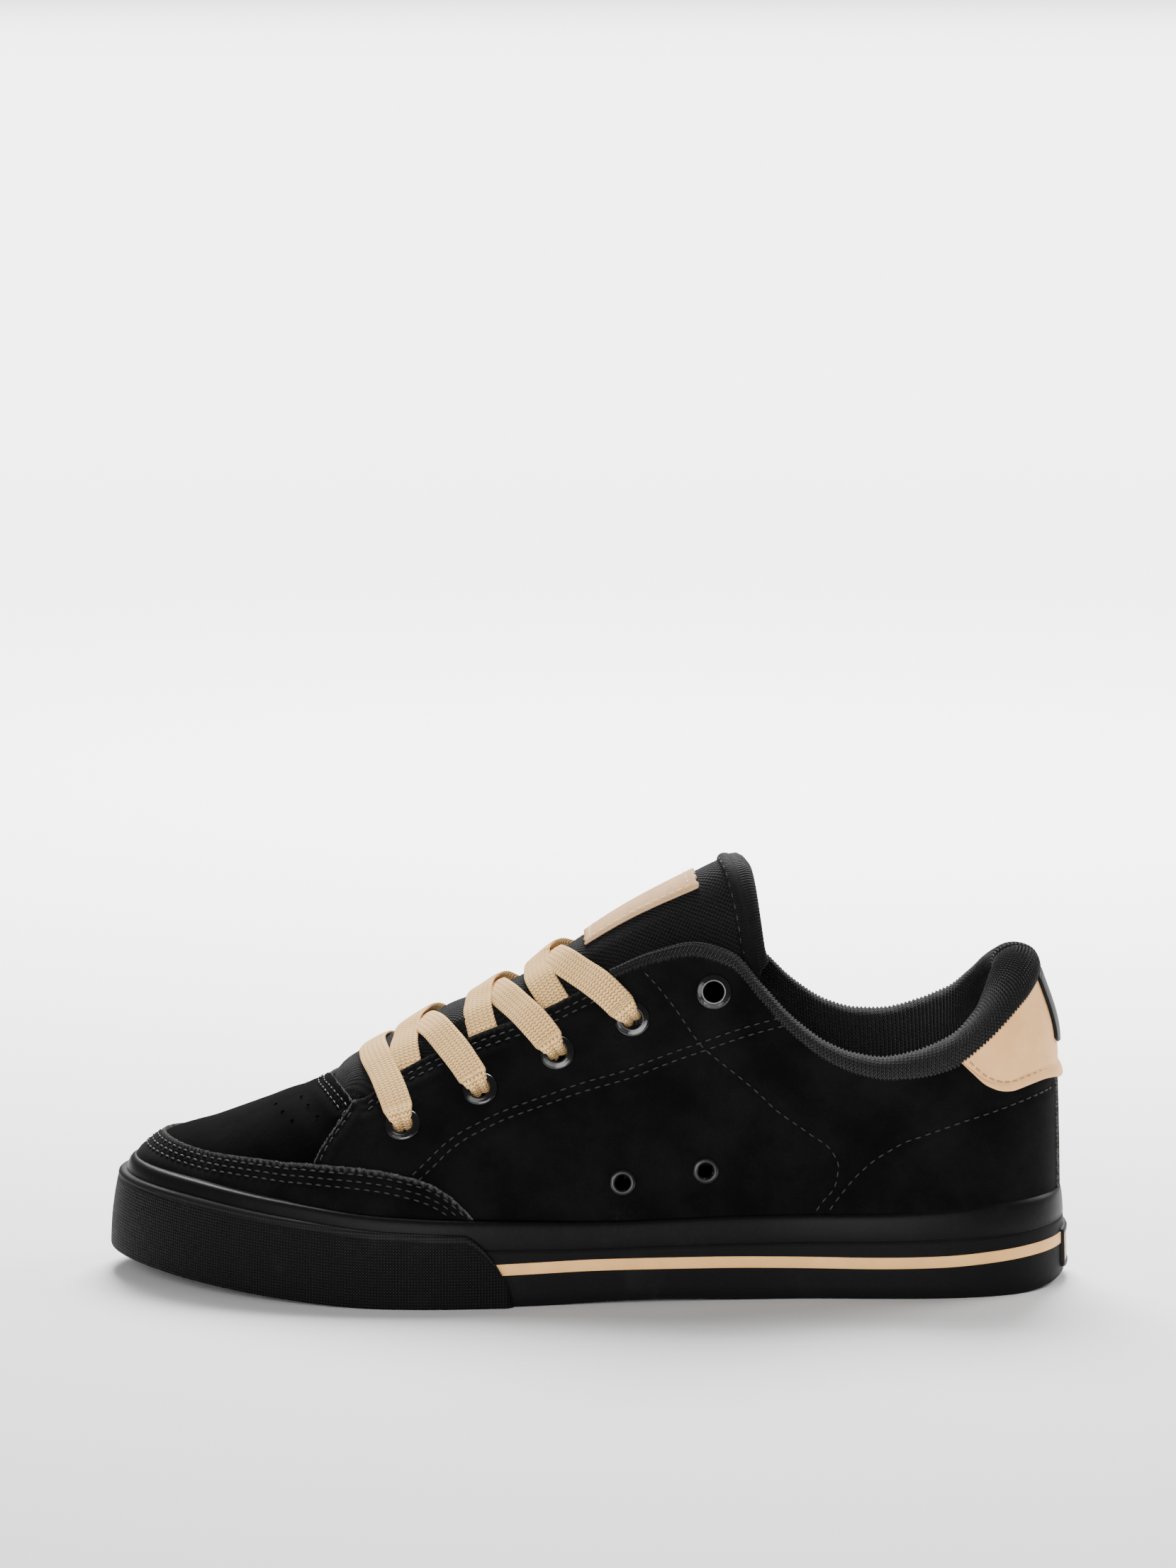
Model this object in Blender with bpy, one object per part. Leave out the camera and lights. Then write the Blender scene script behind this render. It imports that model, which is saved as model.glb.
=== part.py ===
# Low skateboarding shoe for the left foot: vulcanised rubber sole, one-piece hollow upper,
# padded knit collar, flat laces. Metres, +X to the toe, +Y to the outer side, +Z up.
# The origin lies on the floor under the middle of the shoe's box.

import math

import bmesh
import bpy
import numpy as np

# Overall sizes
LENGTH = 0.300
BALL_WIDTH = 0.108
HEEL_WIDTH = 0.077
TOE_HEIGHT = 0.046
INSTEP_HEIGHT = 0.132
HEEL_HEIGHT = 0.098

# Sole
TOE_SPRING = 0.0075
ARCH_RISE = 0.0010
HEEL_ROUND = 0.0025
SOLE_HEEL = 0.014
SOLE_FORE = 0.011
FOXING_HEIGHT = 0.0255
FOXING_WALL = 0.0024
FOXING_LEAN = 0.004
EDGE_CHAMFER = 0.0008
BUMPER_WALL = 0.002
BUMPER_DROP = 0.004
PLATE_WALL = 0.001
PLATE_WIDTH = 0.023
PLATE_HEIGHT = 0.0126
PLATE_LOW = 0.0044
INSOLE_THICK = 0.004
INSOLE_RIM = 0.0015

# Tread
GROOVE_DEPTH = 0.0022
GROOVE_WIDTH = 0.0034
GROOVE_PITCH = 0.0102
GROOVE_WAVE = 0.0025
GROOVE_SLOPE = 0.0007

# Upper, collar and tongue
UPPER_WALL = 0.002
COLLAR_DEPTH = 0.026
LINING_THICK = 0.0012
TONGUE_THIN = 0.004
TONGUE_THICK = 0.008

# Eyelets and laces
EYELET_FLANGE = 0.0055
EYELET_BORE = 0.0031
VENT_FLANGE = 0.0041
VENT_BORE = 0.0024
RING_WALL = 0.0006
RING_STAND = 0.0009
LACE_WIDTH = 0.009
LACE_THICK = 0.0013
LACE_LIFT = 0.0008

# Fits
GAP = 0.0003
SEAT_GAP = 0.0006
UPPER_GAP = 0.0007
LINING_GAP = 0.0006
INSOLE_GAP = 0.001
TONGUE_GAP = 0.0018
PADDING_GAP = 0.0026
TONGUE_EASE = 0.010
TONGUE_BLEND = 0.002

FOXING_LENGTH = LENGTH - BUMPER_WALL - PLATE_WALL - 2 * GAP
FOXING_HEEL = -LENGTH / 2 + PLATE_WALL + GAP

# Plan of the foxing: the heel rows follow the heel width, the others the ball width
OUTLINE = (
    # along, outer side, inner side, width followed
    (0.018, 0.265, 0.265, HEEL_WIDTH),
    (0.055, 0.400, 0.400, HEEL_WIDTH),
    (0.110, 0.476, 0.474, HEEL_WIDTH),
    (0.180, 0.502, 0.498, HEEL_WIDTH),
    (0.280, 0.507, 0.490, HEEL_WIDTH),
    (0.380, 0.400, 0.340, BALL_WIDTH),
    (0.480, 0.448, 0.354, BALL_WIDTH),
    (0.570, 0.494, 0.398, BALL_WIDTH),
    (0.645, 0.524, 0.441, BALL_WIDTH),
    (0.720, 0.520, 0.467, BALL_WIDTH),
    (0.800, 0.470, 0.461, BALL_WIDTH),
    (0.870, 0.388, 0.424, BALL_WIDTH),
    (0.930, 0.276, 0.356, BALL_WIDTH),
    (0.970, 0.160, 0.275, BALL_WIDTH),
    (0.992, 0.052, 0.184, BALL_WIDTH),
)
TOE_SIDEWAYS = -0.069
SHOE_SIDEWAYS = (0.524 - 0.467) / 2

# Tread line of the sole: where it starts to lift, as shares of the foxing length
HEEL_FLAT = 0.056
ARCH_START = 0.300
ARCH_END = 0.576
TOE_BREAK = 0.711
TREAD_ZONES = ((0.075, 0.150), (0.235, 0.335), (0.515, 0.615), (0.705, 0.935))
TREAD_COLUMNS = (
    # share across, grooved
    (-1.00, 0),
    (-0.82, 0),
    (-0.78, 1),
    (-0.45, 1),
    (-0.12, 1),
    (-0.07, 0),
    (0.07, 0),
    (0.12, 1),
    (0.45, 1),
    (0.78, 1),
    (0.82, 0),
    (1.00, 0),
)

# Distances from the ends of an outline at which its sections crowd together
SOLE_ENDS = (0.00004, 0.0006, 0.0022, 0.005, 0.009, 0.0145)
SOLE_LINES = 25
INSOLE_ENDS = (0.0001, 0.0015, 0.005, 0.011)
INSOLE_LINES = 13
INSOLE_COLUMNS = (
    # share across, share of the rim's height
    (-1.00, 1.0),
    (-0.86, 0.5),
    (-0.40, 0.0),
    (0.40, 0.0),
    (0.86, 0.5),
    (1.00, 1.0),
)

# Foxing tape: height and lean are shares of its named sizes
FOXING = (
    # along, height, lean
    (0.00, 1.157, 0.30),
    (0.06, 1.130, 0.30),
    (0.13, 1.070, 0.30),
    (0.22, 1.030, 0.25),
    (0.35, 1.020, 0.22),
    (0.47, 0.995, 0.22),
    (0.58, 1.030, 0.25),
    (0.66, 1.065, 0.30),
    (0.74, 1.110, 0.38),
    (0.82, 1.150, 0.50),
    (0.90, 1.160, 0.72),
    (1.00, 1.105, 1.00),
)
FOXING_LEVELS = (0.0, 0.5, 0.93)
BUMPER_START = 0.574
BUMPER_FULL = 0.624
BUMPER_STEPS = (0.03, 0.2, 0.5, 1.0)
BUMPER_LEVELS = (0.5, 0.94)

# Ridge of the last: height, roundness of the section and sideways place
LAST = (
    # along, height, height followed, roundness, sideways share of the ball width
    (0.000, 1.890, INSTEP_HEIGHT, 1.90, 0.000),
    (0.100, 1.500, INSTEP_HEIGHT, 1.90, 0.000),
    (0.200, 1.180, INSTEP_HEIGHT, 2.00, -0.004),
    (0.310, 1.130, INSTEP_HEIGHT, 1.92, -0.008),
    (0.390, 1.045, INSTEP_HEIGHT, 1.80, -0.012),
    (0.475, 0.900, INSTEP_HEIGHT, 1.68, -0.015),
    (0.540, 0.790, INSTEP_HEIGHT, 1.62, -0.018),
    (0.610, 0.685, INSTEP_HEIGHT, 1.60, -0.022),
    (0.680, 0.595, INSTEP_HEIGHT, 1.68, -0.026),
    (0.735, 0.520, INSTEP_HEIGHT, 1.90, -0.031),
    (0.775, 0.468, INSTEP_HEIGHT, 2.00, -0.035),
    (0.830, 1.198, TOE_HEIGHT, 2.15, -0.045),
    (0.870, 1.095, TOE_HEIGHT, 2.30, -0.052),
    (0.905, 1.020, TOE_HEIGHT, 2.55, -0.060),
    (0.945, 0.980, TOE_HEIGHT, 2.85, -0.066),
    (1.000, 0.960, TOE_HEIGHT, 3.00, -0.069),
)
TOE_KNEE = 0.800
TOE_POLE = 0.903
HEEL_KNEE = 0.270
HEEL_POLE = 0.145
HEEL_TUCK = 0.006
HEEL_BEND = (
    # share of the heel's height or of the length where the back leans forwards, and over how much
    (0.776, 0.306),
    (0.124, 0.101),
)
POLE_START = 0.96
POLE_END = 0.30
THROAT_END = 0.775
THROAT_CORNER = 0.750

# Side view of the leather's top line, throat included
TOPLINE = (
    # along, outer height, inner height, height followed
    (0.000, 1.000, 1.000, HEEL_HEIGHT),
    (0.030, 0.998, 1.000, HEEL_HEIGHT),
    (0.052, 0.936, 0.955, HEEL_HEIGHT),
    (0.090, 0.815, 0.868, HEEL_HEIGHT),
    (0.120, 0.746, 0.806, HEEL_HEIGHT),
    (0.160, 0.713, 0.769, HEEL_HEIGHT),
    (0.190, 0.706, 0.757, HEEL_HEIGHT),
    (0.220, 0.722, 0.763, HEEL_HEIGHT),
    (0.250, 0.760, 0.791, HEEL_HEIGHT),
    (0.290, 0.852, 0.872, HEEL_HEIGHT),
    (0.318, 0.944, 0.958, HEEL_HEIGHT),
    (0.352, 0.779, 0.783, INSTEP_HEIGHT),
    (0.390, 0.800, 0.800, INSTEP_HEIGHT),
    (0.430, 0.780, 0.780, INSTEP_HEIGHT),
    (0.474, 0.738, 0.738, INSTEP_HEIGHT),
    (0.545, 0.656, 0.656, INSTEP_HEIGHT),
    (0.620, 0.587, 0.587, INSTEP_HEIGHT),
    (0.700, 0.499, 0.499, INSTEP_HEIGHT),
    (0.735, 0.446, 0.446, INSTEP_HEIGHT),
    (0.750, 0.441, 0.441, INSTEP_HEIGHT),
    (0.769, 0.455, 0.455, INSTEP_HEIGHT),
    (0.775, 0.468, 0.468, INSTEP_HEIGHT),
)

# Padded collar, from the heel to its end at the throat
COLLAR = (
    # along, crest above the leather, height followed, roll thickness
    (0.000, 0.080, HEEL_HEIGHT, 0.0130),
    (0.050, 0.088, HEEL_HEIGHT, 0.0120),
    (0.090, 0.085, HEEL_HEIGHT, 0.0105),
    (0.130, 0.076, HEEL_HEIGHT, 0.0090),
    (0.190, 0.055, HEEL_HEIGHT, 0.0076),
    (0.250, 0.045, HEEL_HEIGHT, 0.0066),
    (0.310, 0.041, HEEL_HEIGHT, 0.0056),
    (0.390, 0.024, INSTEP_HEIGHT, 0.0046),
    (0.470, 0.020, INSTEP_HEIGHT, 0.0042),
)
COLLAR_END = 0.425
ROLL = (
    # share of the roll's thickness outwards, share of its crest upwards
    (0.06, 0.45),
    (-0.12, 0.88),
    (-0.50, 1.00),
    (-0.84, 0.78),
    (-1.00, 0.25),
)

# Tongue: crest, section and reach of its sides
TONGUE = (
    # along, crest, height followed, half width, drop, half width and drop followed, reach in degrees
    (0.340, 0.998, INSTEP_HEIGHT, 0.198, 0.290, 82),
    (0.385, 0.957, INSTEP_HEIGHT, 0.206, 0.295, 80),
    (0.460, 0.875, INSTEP_HEIGHT, 0.236, 0.305, 76),
    (0.540, 0.762, INSTEP_HEIGHT, 0.285, 0.320, 66),
    (0.610, 0.660, INSTEP_HEIGHT, 0.300, 0.300, 60),
    (0.680, 0.567, INSTEP_HEIGHT, 0.290, 0.250, 58),
    (0.735, 0.483, INSTEP_HEIGHT, 0.270, 0.190, 58),
    (0.775, 0.425, INSTEP_HEIGHT, 0.250, 0.150, 58),
    (0.825, 1.130, TOE_HEIGHT, 0.225, 0.110, 58),
)
TONGUE_ROWS = 15
TONGUE_COLUMNS = 13
TONGUE_DROOP = 0.008
TONGUE_FREE = 0.003
TONGUE_FILL = 1.6
TONGUE_EDGE_THIN = 0.55
TONGUE_FLAT = 0.35

# Lace eyelets and vents: places in the side view, alike on both sides
EYELETS = (
    # along, height share of the instep
    (0.690, 0.402),
    (0.610, 0.482),
    (0.530, 0.566),
    (0.452, 0.646),
    (0.368, 0.712),
)
VENTS = (
    (0.462, 0.279),
    (0.376, 0.303),
)
LACED_ROWS = 4
LACE_ROWS = 11
LACE_END = 0.0068
LACE_TUCK = 0.40
LACE_CROSS = 0.0004
BAND_SLACK = 1.25

RIBS = 38
REAR_RIBS = 0.70
THROAT_RIBS = 3
RIB_STEPS = 8
RING_SIDES = 12
DENSE = 1600
PROBE = 160


# A smooth curve through a table's rows that never overshoots them (monotone cubic)
def smooth(at, xs, ys):
    xs = np.asarray(xs, float)
    ys = np.asarray(ys, float)
    width = np.diff(xs)
    slope = np.diff(ys) / width
    turn = np.zeros(len(xs))
    same = slope[1:] * slope[:-1] > 0
    before = 2 * width[1:] + width[:-1]
    after = width[1:] + 2 * width[:-1]
    safe_low = np.where(same, slope[:-1], 1.0)
    safe_high = np.where(same, slope[1:], 1.0)
    turn[1:-1] = np.where(same, (before + after) / (before / safe_low + after / safe_high), 0.0)
    turn[0] = slope[0]
    turn[-1] = slope[-1]
    at = np.clip(at, xs[0], xs[-1])
    row = np.clip(np.searchsorted(xs, at, side="right") - 1, 0, len(xs) - 2)
    part = (at - xs[row]) / width[row]
    rise = ys[row + 1] - ys[row]
    start = turn[row] * width[row]
    end = turn[row + 1] * width[row]
    bend = 3 * rise - 2 * start - end
    return ys[row] + part * (start + part * (bend + part * (start + end - 2 * rise)))


# A closed curve through a few points, with even curvature (periodic cubic spline)
def closed_spline(points, count):
    points = np.asarray(points, float)
    size = len(points)
    chord = np.linalg.norm(np.roll(points, -1, axis=0) - points, axis=1)
    matrix = np.zeros((size, size))
    right = np.zeros((size, 2))
    for row in range(size):
        before = chord[row - 1]
        after = chord[row]
        matrix[row, row - 1] = after
        matrix[row, row] = 2 * (before + after)
        matrix[row, (row + 1) % size] = before
        right[row] = 3 * (after / before * (points[row] - points[row - 1])
                          + before / after * (points[(row + 1) % size] - points[row]))
    tangent = np.linalg.solve(matrix, right)
    knots = np.concatenate([[0.0], np.cumsum(chord)])
    at = np.linspace(0.0, knots[-1], count, endpoint=False)
    row = np.clip(np.searchsorted(knots, at, side="right") - 1, 0, size - 1)
    part = ((at - knots[row]) / chord[row])[:, None]
    step = chord[row][:, None]
    rise = np.roll(points, -1, axis=0)[row] - points[row]
    start = tangent[row] * step
    end = np.roll(tangent, -1, axis=0)[row] * step
    bend = 3 * rise - 2 * start - end
    return points[row] + part * (start + part * (bend + part * (start + end - 2 * rise)))


# Plan outline of the foxing, heel back first, then the outer side to the toe and back
def foxing_outline():
    outer = [(row[0], row[1] * row[3]) for row in OUTLINE]
    inner = [(row[0], -row[2] * row[3]) for row in reversed(OUTLINE)]
    points = [(0.0, 0.0)] + outer + [(1.0, TOE_SIDEWAYS * BALL_WIDTH)] + inner
    points = [(along * FOXING_LENGTH, across) for along, across in points]
    ring = closed_spline(points, DENSE)
    low = ring[:, 0].min()
    high = ring[:, 0].max()
    ring[:, 0] = FOXING_HEEL + (ring[:, 0] - low) / (high - low) * FOXING_LENGTH
    ring[:, 1] -= SHOE_SIDEWAYS * BALL_WIDTH
    return ring


# Moves a closed outline inwards by a distance that may change along it
def inset(ring, distance):
    along = np.roll(ring, -1, axis=0) - np.roll(ring, 1, axis=0)
    along /= np.linalg.norm(along, axis=1)[:, None]
    inwards = np.stack([along[:, 1], -along[:, 0]], axis=1)
    return ring + inwards * np.broadcast_to(distance, len(ring))[:, None]


# Splits an outline at its heel and toe into two runs from heel to toe
def two_sides(ring):
    heel = int(np.argmin(ring[:, 0]))
    turned = np.roll(ring, -heel, axis=0)
    toe = int(np.argmax(turned[:, 0]))
    outer = turned[:toe + 1]
    inner = np.vstack([turned[toe:], turned[:1]])[::-1]
    return outer, inner


def share(x):
    return (np.asarray(x) - FOXING_HEEL) / FOXING_LENGTH


def place(along):
    return FOXING_HEEL + np.asarray(along) * FOXING_LENGTH


def column(table, index, followed=None):
    if followed is None:
        return [row[index] for row in table]
    return [row[index] * row[followed] for row in table]


# Underside of the sole: toe spring, arch and a small round at the heel
def spring_line(along):
    lift = np.clip((along - TOE_BREAK) / (1 - TOE_BREAK), 0, None)
    return TOE_SPRING * lift ** 1.5


def underside(along):
    arch = np.clip((along - ARCH_START) / (ARCH_END - ARCH_START), 0, 1)
    heel = np.clip((HEEL_FLAT - along) / HEEL_FLAT, 0, 1)
    return spring_line(along) + ARCH_RISE * np.sin(math.pi * arch) ** 2 + HEEL_ROUND * heel ** 2


def sole_top(along):
    part = np.clip((along - ARCH_START) / (ARCH_END - ARCH_START), 0, 1)
    part = part * part * (3 - 2 * part)
    return spring_line(along) + SOLE_HEEL + (SOLE_FORE - SOLE_HEEL) * part


def foxing_top(along):
    return spring_line(along) + FOXING_HEIGHT * smooth(along, column(FOXING, 0), column(FOXING, 1))


def foxing_lean(along):
    return FOXING_LEAN * smooth(along, column(FOXING, 0), column(FOXING, 2))


RING = foxing_outline()
FEATHER = inset(RING, FOXING_WALL + SEAT_GAP)


# The last's skin. Station u runs from 0 at the heel back to 1 at the toe along the outer side
# and to -1 along the inner side; angle runs from 0 at the sole to a quarter turn at the ridge.
class Last:
    def __init__(self, ring):
        self.outer, self.inner = two_sides(ring)
        steps = np.linalg.norm(np.diff(self.outer, axis=0), axis=1)
        arc = np.concatenate([[0.0], np.cumsum(steps)])
        self.arc = arc / arc[-1]
        self.length = arc[-1]

    def base(self, u):
        u = (np.asarray(u, float) + 1) % 2 - 1
        x = np.interp(np.abs(u), self.arc, self.outer[:, 0])
        outer = np.interp(np.abs(u), self.arc, self.outer[:, 1])
        inner = np.interp(x, self.inner[:, 0], self.inner[:, 1])
        return x, np.where(u >= 0, outer, inner)

    def station(self, x):
        return np.interp(x, self.outer[:, 0], self.arc)

    # Where a rib meets the ridge: straight across, but gathered to a pole at heel and toe
    def spine(self, u):
        u = np.abs((np.asarray(u, float) + 1) % 2 - 1)
        x = np.interp(u, self.arc, self.outer[:, 0])
        for knee, pole, end in ((TOE_KNEE, TOE_POLE, 1.0), (HEEL_KNEE, HEEL_POLE, 0.0)):
            start = self.station(place(knee))
            part = np.clip((u - start) / (end - start), 0, 1)
            reach = place(pole) - place(knee)
            first = POLE_START * abs(end - start) * self.length / abs(reach)
            eased = ((part ** 3 - 2 * part ** 2 + part) * first + (3 - 2 * part) * part ** 2
                     + (part ** 3 - part ** 2) * POLE_END)
            x = np.where(part > 0, place(knee) + reach * eased, x)
        return x

    def point(self, u, angle):
        u = np.asarray(u, float)
        angle = np.clip(np.asarray(angle, float), 0, math.pi / 2)
        x, y = self.base(u)
        ridge_x = self.spine(u)
        ridge_y = ridge_place(share(ridge_x))
        power = 2 / roundness(share(ridge_x))
        inwards = np.cos(angle) ** power
        upwards = np.sin(angle) ** power
        px = ridge_x + (x - ridge_x) * inwards
        py = ridge_y + (y - ridge_y) * inwards
        low = sole_top(share(x)) + GAP
        high = ridge_height(share(px))
        pz = low + (high - low) * upwards
        lean = np.clip((pz / HEEL_HEIGHT - HEEL_BEND[0][0]) / HEEL_BEND[0][1], 0, 1)
        back = np.clip((HEEL_BEND[1][0] - share(px)) / HEEL_BEND[1][1], 0, 1)
        px = px + HEEL_TUCK * lean * lean * (3 - 2 * lean) * back * back * (3 - 2 * back)
        return np.stack([px, py, pz], axis=-1)

    def normal(self, u, angle):
        step = 0.002
        turn = 0.01
        low = np.clip(angle, turn, math.pi / 2 - 2 * turn)
        along = self.point(u + step, low) - self.point(u - step, low)
        up = self.point(u, low + turn) - self.point(u, low - turn)
        out = np.cross(up, along)
        return out / np.linalg.norm(out, axis=-1)[..., None]


def ridge_height(along):
    return smooth(along, column(LAST, 0), column(LAST, 1, 2))


def roundness(along):
    return smooth(along, column(LAST, 0), column(LAST, 3))


def ridge_place(along):
    return BALL_WIDTH * (smooth(along, column(LAST, 0), column(LAST, 4)) - SHOE_SIDEWAYS)


# Height of the leather's top line over a place along the shoe, on either side
def top_line(along, outer_side):
    outer = smooth(along, column(TOPLINE, 0), column(TOPLINE, 1, 3))
    inner = smooth(along, column(TOPLINE, 0), column(TOPLINE, 2, 3))
    return np.where(outer_side, outer, inner)


LAST_SKIN = Last(FEATHER)


# Angle at which each rib is cut by the top line; closed ribs run up to the ridge
def cut_angle(u):
    u = np.atleast_1d(np.asarray(u, float))
    angle = np.linspace(0.02, math.pi / 2, PROBE)
    found = np.full(len(u), math.pi / 2)
    ridge = share(LAST_SKIN.spine(u))
    for index, station in enumerate(u):
        if ridge[index] >= THROAT_END:
            continue
        points = LAST_SKIN.point(np.full(PROBE, station), angle)
        over = points[:, 2] - top_line(share(points[:, 0]), station >= 0)
        first = int(np.argmax(over > 0))
        if over[first] > 0:
            part = over[first] / (over[first] - over[first - 1])
            found[index] = angle[first] - part * (angle[first] - angle[first - 1])
    return found


# Angle of the rib at a height
def angle_at(u, height):
    angle = np.linspace(0.0, math.pi / 2, PROBE)
    heights = LAST_SKIN.point(np.full(PROBE, u), angle)[:, 2]
    return np.interp(height, np.maximum.accumulate(heights), angle)


def add_object(name, vertices, faces, material, flat=False):
    mesh = bpy.data.meshes.new(name)
    mesh.from_pydata(np.asarray(vertices).reshape(-1, 3).tolist(), [], faces)
    work = bmesh.new()
    work.from_mesh(mesh)
    bmesh.ops.remove_doubles(work, verts=work.verts, dist=1e-6)
    bmesh.ops.dissolve_degenerate(work, edges=work.edges, dist=1e-7)
    bmesh.ops.recalc_face_normals(work, faces=work.faces)
    work.to_mesh(mesh)
    work.free()
    if not flat:
        mesh.shade_smooth()
        mesh.set_sharp_from_angle(angle=math.radians(35))
    mesh.materials.append(material)
    thing = bpy.data.objects.new(name, mesh)
    bpy.context.scene.collection.objects.link(thing)
    return thing


# Sections carried along a path, each a closed loop; ends are capped unless the path closes
def tube_faces(rows, columns, closed):
    faces = []
    for row in range(rows if closed else rows - 1):
        ahead = (row + 1) % rows
        for index in range(columns):
            beside = (index + 1) % columns
            faces.append((row * columns + index, row * columns + beside,
                          ahead * columns + beside, ahead * columns + index))
    if not closed:
        faces.append(tuple(range(columns))[::-1])
        faces.append(tuple((rows - 1) * columns + index for index in range(columns)))
    return faces


def tube(name, sections, material, closed=False, flat=False):
    sections = np.asarray(sections)
    rows, columns = sections.shape[:2]
    return add_object(name, sections, tube_faces(rows, columns, closed), material, flat)


def material(name, colour, roughness_value, metallic=0.0):
    made = bpy.data.materials.new(name)
    made.use_nodes = True
    shader = made.node_tree.nodes["Principled BSDF"]
    shader.inputs["Base Color"].default_value = (*colour, 1.0)
    shader.inputs["Roughness"].default_value = roughness_value
    shader.inputs["Metallic"].default_value = metallic
    return made


# Heights of the tread: wavy grooves across, cut between lengthwise ribs at the edge
def tread_lines():
    lines = []
    for start, end in TREAD_ZONES:
        first = place(start)
        room = place(end) - first
        count = max(1, int(room / GROOVE_PITCH))
        for index in range(count):
            middle = first + (index + 0.5) * room / count
            half = GROOVE_WIDTH / 2
            lines += [(middle - half, 0.0), (middle - half + GROOVE_SLOPE, 1.0),
                      (middle + half - GROOVE_SLOPE, 1.0), (middle + half, 0.0)]
    return lines


def build_outsole(look):
    skin = LAST_SKIN
    heel = skin.outer[0, 0]
    toe = skin.outer[-1, 0]
    ends = np.array(SOLE_ENDS)
    margin = 1.5 * ends[-1]
    grooves = tread_lines()
    taken = np.array([x for x, depth in grooves])
    plain = np.linspace(heel + margin, toe - margin, SOLE_LINES)
    plain = [x for x in plain if np.abs(taken - x).min() > GROOVE_WAVE + 0.5 * GROOVE_WIDTH]
    lines = [(x, 0.0, 0.0) for x in [*(heel + ends), *plain, *(toe - ends)]]
    lines += [(x, depth, 1.0) for x, depth in grooves]
    lines.sort()
    across = np.array(column(TREAD_COLUMNS, 0))
    grooved = np.array(column(TREAD_COLUMNS, 1))
    sections = []
    for x, depth, waved in lines:
        outer = np.interp(x, skin.outer[:, 0], skin.outer[:, 1])
        inner = np.interp(x, skin.inner[:, 0], skin.inner[:, 1])
        wave = waved * GROOVE_WAVE * np.cos(across * 3 * math.pi) * grooved
        low_x = np.clip(x + wave, heel, toe)
        low_y = (outer + inner) / 2 + (outer - inner) / 2 * across
        low_z = underside(share(low_x)) + GROOVE_DEPTH * depth * grooved
        low = np.stack([low_x, low_y, low_z], axis=1)
        seat = sole_top(share(x))
        sections.append(np.vstack([low, [[x, outer, seat], [x, inner, seat]]]))
    return tube("outsole", sections, look, flat=True)


PLAN = Last(RING)
FOXING_INSIDE = Last(inset(RING, FOXING_WALL))


# Points of the upper's skin at a height over the floor, one for each station
def skin_at(stations, heights, offset):
    angles = np.array([angle_at(u, z) for u, z in zip(stations, heights)])
    return LAST_SKIN.point(stations, angles) + offset * LAST_SKIN.normal(stations, angles)


def plan_normal(stations):
    step = 0.003
    ax, ay = PLAN.base(stations + step)
    bx, by = PLAN.base(stations - step)
    out = np.stack([by - ay, ax - bx], axis=-1)
    return out / np.linalg.norm(out, axis=-1)[..., None]


# Outer face of the foxing at a share of its height, moved outwards by an offset
def foxing_face(stations, level, offset):
    x, y = PLAN.base(stations)
    along = share(x)
    low = underside(along)
    height = low + (foxing_top(along) - low) * level
    move = (offset - foxing_lean(along) * np.asarray(level) ** 2)[..., None] * plan_normal(stations)
    return np.stack([x + move[..., 0], y + move[..., 1], height], axis=-1)


def foxing_inner(stations, height):
    x, y = FOXING_INSIDE.base(stations)
    return np.stack([x, y, np.broadcast_to(height, x.shape)], axis=-1)


def build_foxing(look):
    stations = all_stations()
    along = share(PLAN.base(stations)[0])
    seat = sole_top(along)
    top = foxing_top(along)
    outer = [foxing_face(stations, level, 0.0) for level in FOXING_LEVELS]
    lip = foxing_face(stations, 1.0, -EDGE_CHAMFER)
    rim = skin_at(stations, top, UPPER_GAP)
    middle = skin_at(stations, (seat + top) / 2, UPPER_GAP)
    sections = np.stack([*outer, lip, rim, middle, foxing_inner(stations, seat),
                         foxing_inner(stations, underside(along))], axis=1)
    return tube("foxing", sections, look, closed=True)


# Rubber toe bumper: the same face as the foxing, one wall further out
def build_bumper(look):
    edge = PLAN.station(place(BUMPER_START + (BUMPER_FULL - BUMPER_START) * np.array(BUMPER_STEPS)))
    ribs = rib_stations()
    half = np.concatenate([edge, ribs[ribs > edge[-1] + 0.004]])
    stations = np.concatenate([half, 2 - half[-2::-1]])
    along = share(PLAN.base(stations)[0])
    back = np.clip((BUMPER_FULL - along) / (BUMPER_FULL - BUMPER_START), 0, 1)
    round_end = (1 - back ** 1.5) ** 0.7
    low = underside(along)
    top = round_end * (foxing_top(along) - BUMPER_DROP - low) / (foxing_top(along) - low)
    face = GAP + BUMPER_WALL
    rows = []
    for part, offset in ((0.0, GAP), (0.0, face), (BUMPER_LEVELS[0], face), (BUMPER_LEVELS[1], face),
                         (1.0, face - EDGE_CHAMFER), (1.0, GAP), (BUMPER_LEVELS[0], GAP)):
        rows.append(foxing_face(stations, top * part, offset))
    return tube("toe_bumper", np.stack(rows, axis=1), look)


# Small plate at the back of the heel, bent to the foxing
def build_heel_plate(look):
    reach = PLATE_WIDTH / 2 / PLAN.length
    stations = np.linspace(-reach, reach, 9)
    along = share(PLAN.base(stations)[0])
    low = underside(along)
    tall = foxing_top(along) - low
    bottom = (PLATE_LOW - low) / tall
    top = (PLATE_LOW + PLATE_HEIGHT - low) / tall
    rows = []
    for part, offset in ((0.0, GAP), (0.0, GAP + PLATE_WALL), (0.5, GAP + PLATE_WALL),
                         (1.0, GAP + PLATE_WALL), (1.0, GAP), (0.5, GAP)):
        rows.append(foxing_face(stations, bottom + (top - bottom) * part, offset))
    return tube("heel_plate", np.stack(rows, axis=1), look, flat=True)


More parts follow.
